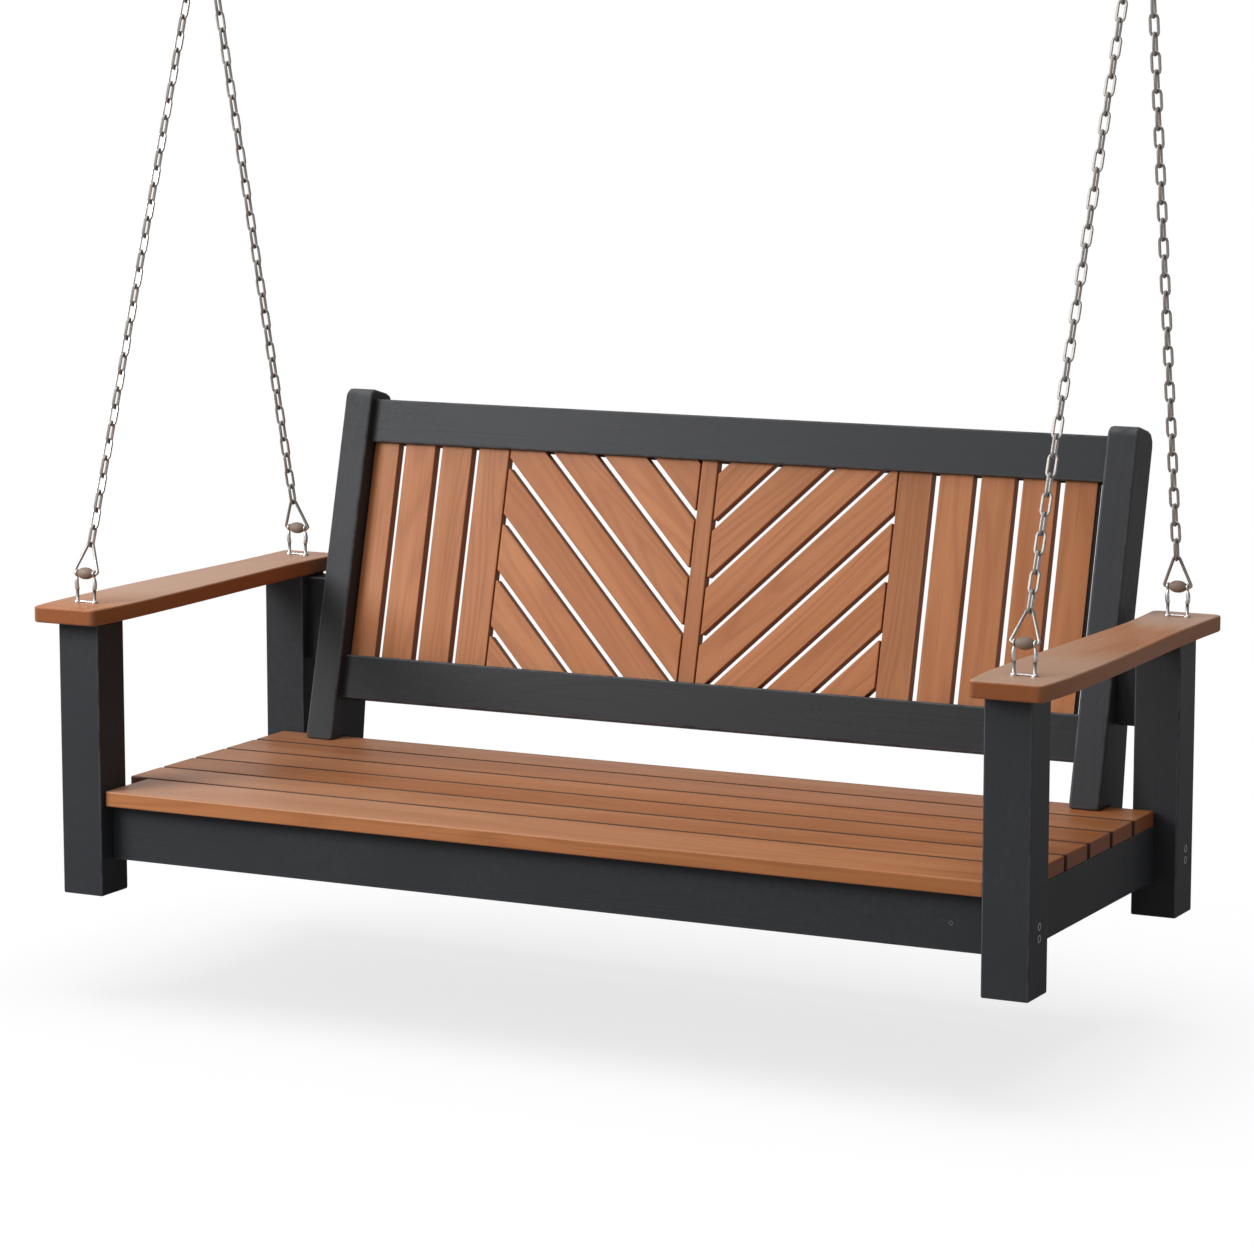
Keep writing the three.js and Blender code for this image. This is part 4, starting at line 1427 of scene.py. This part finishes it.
    def ring(self) -> Surface:
        """The triangular ring on the spacer's bar.

        Its centreline is what a band would follow round three circles, two at the ends of the base
        and one at the apex. It leaves one circle for the next where the line from centre to centre,
        turned by the arc cosine of the radii's difference over their distance, points.

        Returns:
            Its surface, darker under its apex, where the first link hangs.
        """
        up = self.way[0]
        lean = self.ring_height * up[0] / math.hypot(up[1], up[2])
        upward = np.array([0.0, up[1], up[2]]) / math.hypot(up[1], up[2])
        centres = np.array(
            [
                [self.base_half, self.base_radius],
                [lean, self.ring_height - self.apex_radius],
                [-self.base_half, self.base_radius],
            ]
        )
        radii = np.array([self.base_radius, self.apex_radius, self.base_radius])
        gaps = np.roll(centres, -1, 0) - centres
        headings = np.arctan2(gaps[:, 1], gaps[:, 0])
        leaving = headings - np.arccos((radii - np.roll(radii, -1)) / np.linalg.norm(gaps, axis=1))
        arriving = np.roll(leaving, 1)
        sweep = (leaving - arriving) % (2 * np.pi)
        angles = arriving[:, None] + sweep[:, None] * np.linspace(0, 1, self.ring_steps)[None]
        plane = np.stack([np.cos(angles), np.sin(angles)], -1)
        path = (centres[:, None] + radii[:, None, None] * plane).reshape(-1, 2)
        axes = np.stack([X, upward])
        line, outward = self.ring_bar + path @ axes, plane.reshape(-1, 2) @ axes
        surface = tube(line, outward, -np.cross(X, upward), self.ring_wire / 2, self.wire_sides, True)
        most, reach = self.apex_darkening
        apex = most * np.exp(-(((path[:, 1] - self.ring_height) / reach) ** 2))
        surface.attributes["grime_and_shade"] = np.repeat(apex, self.wire_sides)
        return surface

    def oval(self, span: float, radius: float, wire: float, steps: int, sides: int) -> Surface:
        """A link about the origin, in the plane of X and Y and long in Y.

        Two half circles are drawn apart, each at angles from 0 to half a turn.

        Args:
            span: from the middle of the wire at one end to the middle of it at the other.
            radius: of the half circles.
            wire: diameter of the wire.
            steps: points on each half circle.
            sides: points round the wire.

        Returns:
            The link, darker at its two ends and most on their inside, where it meets the next link: grime and
            painted shade.
        """
        half = np.linspace(0, np.pi, steps)
        angles = np.concatenate([half, half + np.pi])
        shift = np.repeat([1, -1], steps) * (span / 2 - radius)
        outward = np.stack([np.cos(angles), np.sin(angles), np.zeros(2 * steps)], 1)
        path = outward * radius + shift[:, None] * Y
        surface = tube(path, outward, -Z, wire / 2, sides, True)
        # grime and painted shade at the link's ends, where the links meet
        crown = np.clip((np.abs(path[:, 1]) - (span / 2 - radius)) / radius, 0, 1)
        inner = 0.5 - 0.5 * np.cos(2 * np.pi * np.arange(sides) / sides)
        round_wire = self.outer_darkening + (1 - self.outer_darkening) * inner
        surface.attributes["grime_and_shade"] = (crown[:, None] ** 2 * round_wire).ravel()
        return surface

    @property
    def run(self) -> tuple[float, int]:
        """The run of ordinary links.

        Returns:
            How far up the first one starts, and how many there are, an even number.
        """
        length = self.way[3]
        first = self.ring_height - (self.ring_wire + self.wire) / 2
        spare = length - first - self.top_radius - self.shortest_top
        return first, 2 * int(spare // (2 * self.pitch))

    def links(self) -> Surface:
        """The links, which stand alternately edge on and face on, all from one oval.

        Returns:
            One surface of them all.
        """
        up, across, ahead, _ = self.way
        first, count = self.run
        span = self.pitch + self.wire
        radius = (self.width - self.wire) / 2
        oval = self.oval(span, radius, self.wire, self.link_steps, self.link_sides)
        number = np.arange(count)
        middles = self.ring_bar + (first + number * self.pitch + span / 2)[:, None] * up
        edge_on, face_on = np.stack([ahead, up, -across]), np.stack([across, up, ahead])
        axes = np.where((number % 2 == 0)[:, None, None], edge_on, face_on)
        points = middles[:, None] + np.einsum("pi,nij->npj", oval.points, axes)
        starts = number[:, None, None] * len(oval.points)
        faces = (np.array(oval.faces)[None] + starts).reshape(-1, 4).tolist()
        grime_and_shade = np.tile(oval.attributes["grime_and_shade"], count)
        return Surface(points.reshape(-1, 3), faces, None, {"grime_and_shade": grime_and_shade})

    def top_link(self) -> Surface:
        """The longer link round the ceiling hanger's bar.

        Returns:
            Its surface.
        """
        up, across, ahead, length = self.way
        first, count = self.run
        bottom = first + count * self.pitch + (self.wire - self.top_wire) / 2
        top = length + self.top_radius
        oval = self.oval(top - bottom, self.top_radius, self.top_wire, self.top_steps, self.wire_sides)
        middle = self.ring_bar + up * (bottom + top) / 2
        oval.points = middle + oval.points @ np.stack([ahead, up, -across])
        return oval


@dataclass
class HangingGear:
    """The four arm hangers with their chains."""

    shop: Workshop
    head_offset: float = 0.0042  # each side of the middle of the ceiling hanger's bar

    def build(self) -> None:
        """Builds the hangers, each from its roller's middle to its ceiling hanger's bar."""
        for side, sign in (("left", -1), ("right", 1)):
            head = middle_of(f"ceiling_hanger_{side}") * X + Z * BAR_HEIGHT
            for end, inward in (("front", -1), ("rear", 1)):
                bar = middle_of(f"hanger_roller_{end}_{side}")
                Hanger(self.shop, end, side, bar, head + X * sign * inward * self.head_offset).build()


@dataclass
class CeilingHanger:
    """A screwed plate with a round bar bent into a staple, and its two hexagon-headed screws."""

    shop: Workshop
    side: str
    plate: tuple = (0.005, 0.010, 0.0009)  # thickness, corner radius and ease
    bar: float = 0.009
    bar_sides: int = 16
    bend_steps: int = 7
    washer_sides: int = 24
    half_width: float = 0.0165
    bend: float = 0.0085
    weld: float = 0.0015  # how far the legs reach into the plate
    bar_wear: tuple = (0.5, 0.004)  # how dark it is, and how far it reaches
    screw_offset: float = 0.037
    washer: tuple = (0.0085, 0.0016, 0.0003)  # radius, thickness and ease
    head: tuple = (0.0058, 0.0050, 0.0006, 0.0005)  # radius to the corners, height, corner and ease

    def build(self) -> None:
        """Builds the hanger and its screws."""
        node, finishes = f"ceiling_hanger_{self.side}", self.shop.finishes
        low, high = corners_of(node)
        thickness, corner, ease = self.plate
        under = X * (low[0] + high[0]) / 2 + Z * (high[2] - thickness)
        plan = rectangle(low[:2], high[:2])
        plate = bare(eased_board(plan, corner, thickness, ease, Placing(X, Y, Z * under)))
        pieces = joined([plate, self.staple(under)])
        self.shop.hardware(f"{node}_staple", pieces, finishes.chain, Body.CEILING, [node])
        heads = [shape for sign in (-1, 1) for shape in self.screw(sign, under)]
        self.shop.hardware(f"ceiling_screws_{self.side}", joined(heads), finishes.plated, Body.CEILING)

    def staple(self, under: Array) -> Surface:
        """The bent bar: two legs from under the plate, two quarter bends and the bar between them.

        Args:
            under: the middle of the plate's lower face.

        Returns:
            Its surface, dark where the top links rub it.
        """
        quarter = np.linspace(0, np.pi / 2, self.bend_steps)
        corner = self.half_width - self.bend
        left = np.stack([-corner - self.bend * np.cos(quarter), -self.bend * np.sin(quarter)], 1)
        right = (left * (-1, 1))[::-1]
        floor = np.concatenate([left, right]) + (0, BAR_HEIGHT + self.bend)
        top = under[2] + self.weld
        path = np.concatenate([[[-self.half_width, top]], floor, [[self.half_width, top]]])
        lean = np.concatenate([[np.pi], np.pi + quarter, 2 * np.pi - quarter[::-1], [2 * np.pi]])
        outward = np.cos(lean)[:, None] * X + np.sin(lean)[:, None] * Z
        line = path[:, :1] * X + path[:, 1:] * Z + X * under[0]
        surface = tube(line, outward, Y, self.bar / 2, self.bar_sides)
        most, reach = self.bar_wear
        rubbed = most * np.exp(-(((path[:, 1] - BAR_HEIGHT) / reach) ** 2))
        surface.attributes["grime_and_shade"] = np.repeat(rubbed, self.bar_sides)
        return surface

    def screw(self, sign: int, under: Array) -> list[Surface]:
        """A washer and a hexagon head under the plate.

        Args:
            sign: -1 for the left screw, 1 for the right one.
            under: the middle of the plate's lower face.

        Returns:
            The washer and the head.
        """
        radius, thickness, edge = self.washer
        centre = under + X * sign * self.screw_offset
        ring = np.array([[radius - edge, -thickness], [radius, -thickness + edge], [radius, 0.0]])
        reach, height, corner, ease = self.head
        angle = np.radians(60 * np.arange(6) + 30)
        hexagon = reach * np.stack([np.cos(angle), np.sin(angle)], 1)
        placing = Placing(X, Y, centre - Z * (thickness + height))
        head = eased_board(hexagon, corner, height, ease, placing, 3)
        return [bare(turned(ring, centre, Z, X, self.washer_sides)), bare(head)]


@dataclass
class BoltCovers:
    """Round covers over the bolts: two on each post's outer face, and a small one on the front rail."""

    shop: Workshop
    radius: float = 0.0052
    rim: float = 0.0013
    proud: float = 0.0005
    levels: tuple = (-1.358, -1.374)
    rows: tuple = (("front", -0.353), ("rear", 0.202))
    sides: int = 24
    small_radius: float = 0.0032
    small_spot: tuple = (0.618, -1.364)  # X and Z on the front rail
    small_rim_paling: float = 2.6
    small_tone: float = 0.5

    def build(self) -> None:
        """Builds the covers of each post, then the one on the front rail."""
        for side, sign in (("left", -1), ("right", 1)):
            face = corners_of(f"front_post_{side}")[sign > 0][0]
            for end, y in self.rows:
                spots = [np.array([face, y, z]) for z in self.levels]
                surface = joined([self.cover(spot, sign * X, self.radius) for spot in spots])
                # the dark middle is the cover's own colour, round it the bright rim
                surface.attributes["grime_and_shade"] = 1 - surface.attributes.pop("rim")
                self.shop.hardware(f"bolt_covers_{end}_{side}", surface, self.shop.finishes.plated)
        x, z = self.small_spot
        spot = np.array([x, corners_of("front_rail")[0][1], z])
        small = self.cover(spot, -Y, self.small_radius)
        rim = small.attributes.pop("rim")
        tone = np.full(len(rim), self.small_tone)
        # its rim is drawn paler through the paint's edge colour, by this much
        small.attributes |= {"grain": small.points.copy(), "edge": rim * self.small_rim_paling, "tone": tone}
        make_piece("bolt_cover_front_rail", small, self.shop.finishes.paint, Body.SWING.value)

    def cover(self, centre: Array, out: Array, radius: float) -> Surface:
        """A turned cover: a thin rim that stands proud round a dished middle.

        Args:
            centre: its centre on the timber's face.
            out: the face's outward normal.
            radius: of the rim.

        Returns:
            The surface, with 1 in its "rim" attribute on the rim.
        """
        # Radius, height over the timber, and share of the rim's look.
        rows = np.array(
            [
                [radius, -0.0012, 0],
                [radius, self.proud * 0.4, 1],
                [radius - self.rim * 0.35, self.proud, 1],
                [radius - self.rim * 0.75, self.proud * 0.9, 1],
                [radius - self.rim, self.proud * 0.2, 0.3],
                [radius - self.rim * 1.6, -0.0002, 0],
                [radius * 0.3, -0.0004, 0],
            ]
        )
        surface = turned(rows[:, :2], centre, out, Z, self.sides)
        surface.attributes["rim"] = np.repeat(rows[:, 2], self.sides)
        return surface


# ---- The studio ----


def towards(azimuth: float, elevation: float) -> Vector:
    """The unit direction at an azimuth from the front to the right and an elevation, in degrees."""
    a, e = math.radians(azimuth), math.radians(elevation)
    return Vector((math.sin(a) * math.cos(e), -math.cos(a) * math.cos(e), math.sin(e)))


@dataclass
class Studio:
    """A pale floor, a white surround, soft light from above and the camera."""

    floor_z: float = -1.606
    floor_size: float = 30.0
    floor_colour: tuple = (0.42, 0.42, 0.424, 1)
    floor_roughness: float = 0.9
    floor_glow: float = 0.75
    bounce: float = 0.5  # how bright the far floor is to all but the camera
    fade: tuple = (1.6, 4.0)  # how far out the floor starts and ends turning plain
    # The surround is brighter on the bench's left: its strength on the right and on the left.
    brighter_side: tuple = (-0.95, -0.31, 0.0)
    ambient: tuple = (0.16, 0.44)
    mirrored: tuple = (0.20, 0.95)
    side_blend: float = 0.8
    lens: float = 120.913
    sensor: float = 36.0
    azimuth: float = 26.9297
    elevation: float = 8.6069
    position: tuple = (2.64743, -5.27478, -0.17614)
    # Name, azimuth from the front, elevation, how wide the source looks, and strength.
    suns: tuple = (
        ("overhead", 0.0, 88.0, 45.0, 1.0),
        ("key", -25.0, 42.0, 50.0, 0.55),
    )
    softbox_spot: tuple = (-2.2, -2.3, 0.3)
    softbox_size: float = 1.4
    softbox_power: float = 80.0
    softbox_aim: tuple = (0.0, 0.0, -1.0)
    sun_distance: float = 4.0

    def build(self) -> None:
        """Builds the floor, the surround, the lights and the camera."""
        scene = bpy.context.scene
        scene.view_settings.view_transform = "Standard"
        floor = self.floor()
        self.surround(scene)
        _, key = (self.sun(*row) for row in self.suns)
        self.spare(floor, (key, self.softbox(scene)))
        self.camera(scene)

    @staticmethod
    def spare(floor: bpy.types.Object, lamps: Iterable[bpy.types.Object]) -> None:
        """Keeps some lamps off the floor, so that its one shadow is the one from above.

        Args:
            floor: the floor.
            lamps: those that leave it out.
        """
        unlit = bpy.data.collections.new("unlit_by_key")
        unlit.objects.link(floor)
        for entry in unlit.collection_objects:
            entry.light_linking.link_state = "EXCLUDE"
        for lamp in lamps:
            lamp.light_linking.receiver_collection = unlit

    def floor(self) -> bpy.types.Object:
        """The floor, which shows the shadow near the swing and turns plain white far from it.

        Returns:
            The floor's object.
        """
        half = self.floor_size / 2
        mesh = bpy.data.meshes.new("floor")
        corners = rectangle((-half, -half), (half, half))
        mesh.from_pydata([(x, y, self.floor_z) for x, y in corners.tolist()], [], [[0, 1, 2, 3]])
        floor = bpy.data.objects.new("floor", mesh)
        bpy.context.scene.collection.objects.link(floor)
        material, wiring, shader = started("pale_floor")
        mesh.materials.append(material)
        shader.inputs["Base Color"].default_value = self.floor_colour
        shader.inputs["Roughness"].default_value = self.floor_roughness
        shader.inputs["Specular IOR Level"].default_value = 0.0
        place = wiring.add("TexCoord").outputs["Object"]
        flat = wiring.add("VectorMath", {0: place, 1: (1.0, 1.0, 0.0)}, operation="MULTIPLY").outputs[0]
        distance = wiring.add("VectorMath", {0: flat}, operation="LENGTH").outputs["Value"]
        far = wiring.window(distance, *self.fade)
        seen = wiring.add("LightPath").outputs["Is Camera Ray"]
        glow = wiring.add("Emission", {"Color": WHITE, "Strength": wiring.times(seen, self.floor_glow)})
        lit = wiring.add("AddShader", {0: shader.outputs[0], 1: glow.outputs[0]})
        plain = wiring.add("Emission", {"Color": WHITE, "Strength": wiring.between(seen, self.bounce, 1.0)})
        mixed = wiring.add("MixShader", {0: far, 1: lit.outputs[0], 2: plain.outputs[0]})
        output = material.node_tree.nodes["Material Output"]
        wiring.join(output, Surface=mixed.outputs[0])
        return floor

    def surround(self, scene: bpy.types.Scene) -> None:
        """A white surround that lights the swing softly.

        Args:
            scene: the scene that it belongs to.
        """
        world = bpy.data.worlds.new("white_surround")
        scene.world = world
        world.use_nodes = True
        wiring = Wiring(world.node_tree)
        background = world.node_tree.nodes["Background"]
        background.inputs["Color"].default_value = WHITE
        direction = wiring.add("TexCoord").outputs["Generated"]
        facing = wiring.add("VectorMath", {0: direction, 1: self.brighter_side}, operation="DOT_PRODUCT")
        left = wiring.window(facing.outputs["Value"], -self.side_blend, self.side_blend)
        path = wiring.add("LightPath").outputs
        diffuse, glossy = (wiring.between(left, *pair) for pair in (self.ambient, self.mirrored))
        lighting = wiring.mixed(path["Is Glossy Ray"], diffuse, glossy)
        strength = wiring.mixed(path["Is Camera Ray"], lighting, 1.0)
        wiring.join(background, Strength=strength)

    def sun(self, name: str, azimuth: float, elevation: float, spread: float, strength: float) -> Lamp:
        """One soft, wide source.

        Args:
            name: its name.
            azimuth: degrees from the front of the bench towards its right.
            elevation: degrees above the floor.
            spread: how wide it looks, in degrees.
            strength: in watts per square metre.

        Returns:
            The lamp.
        """
        light = bpy.data.lights.new(name, "SUN")
        light.angle = math.radians(spread)
        light.energy = strength
        lamp = bpy.data.objects.new(name, light)
        direction = towards(azimuth, elevation)
        lamp.rotation_euler = direction.to_track_quat("Z", "Y").to_euler()
        lamp.location = direction * self.sun_distance
        bpy.context.scene.collection.objects.link(lamp)
        return lamp

    def softbox(self, scene: bpy.types.Scene) -> Lamp:
        """A square softbox at the front left, which the satin finishes mirror.

        Args:
            scene: the scene that it belongs to.

        Returns:
            The lamp.
        """
        light = bpy.data.lights.new("softbox", "AREA")
        light.size = self.softbox_size
        light.energy = self.softbox_power
        lamp = bpy.data.objects.new("softbox", light)
        spot = Vector(self.softbox_spot)
        away = spot - Vector(self.softbox_aim)
        lamp.matrix_world = Matrix.LocRotScale(spot, away.to_track_quat("Z", "Y"), None)
        lamp.visible_camera = False
        scene.collection.objects.link(lamp)
        return lamp

    def camera(self, scene: bpy.types.Scene) -> None:
        """The camera, level in roll.

        Args:
            scene: the scene that it belongs to.
        """
        data = bpy.data.cameras.new("camera")
        data.lens = self.lens
        data.sensor_width = self.sensor
        camera = bpy.data.objects.new("camera", data)
        back = towards(self.azimuth, self.elevation)
        right = towards(self.azimuth + 90, 0)
        turn = Matrix((right, back.cross(right), back)).transposed()
        camera.matrix_world = Matrix.LocRotScale(Vector(self.position), turn.to_quaternion(), None)
        scene.collection.objects.link(camera)
        scene.camera = camera


def main() -> None:
    """Dresses the swing and sets the studio round it."""
    logging.basicConfig(level=logging.INFO, format="%(message)s")
    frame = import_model()
    Studio().build()
    shop = Workshop(frame["nodes"], Finishes.made())
    SeatFrame(shop).build()
    Arms(shop).build()
    Seat(shop).build()
    Back(shop).build()
    HangingGear(shop).build()
    for side in ("left", "right"):
        CeilingHanger(shop, side).build()
    BoltCovers(shop).build()


if __name__ == "__main__":
    main()
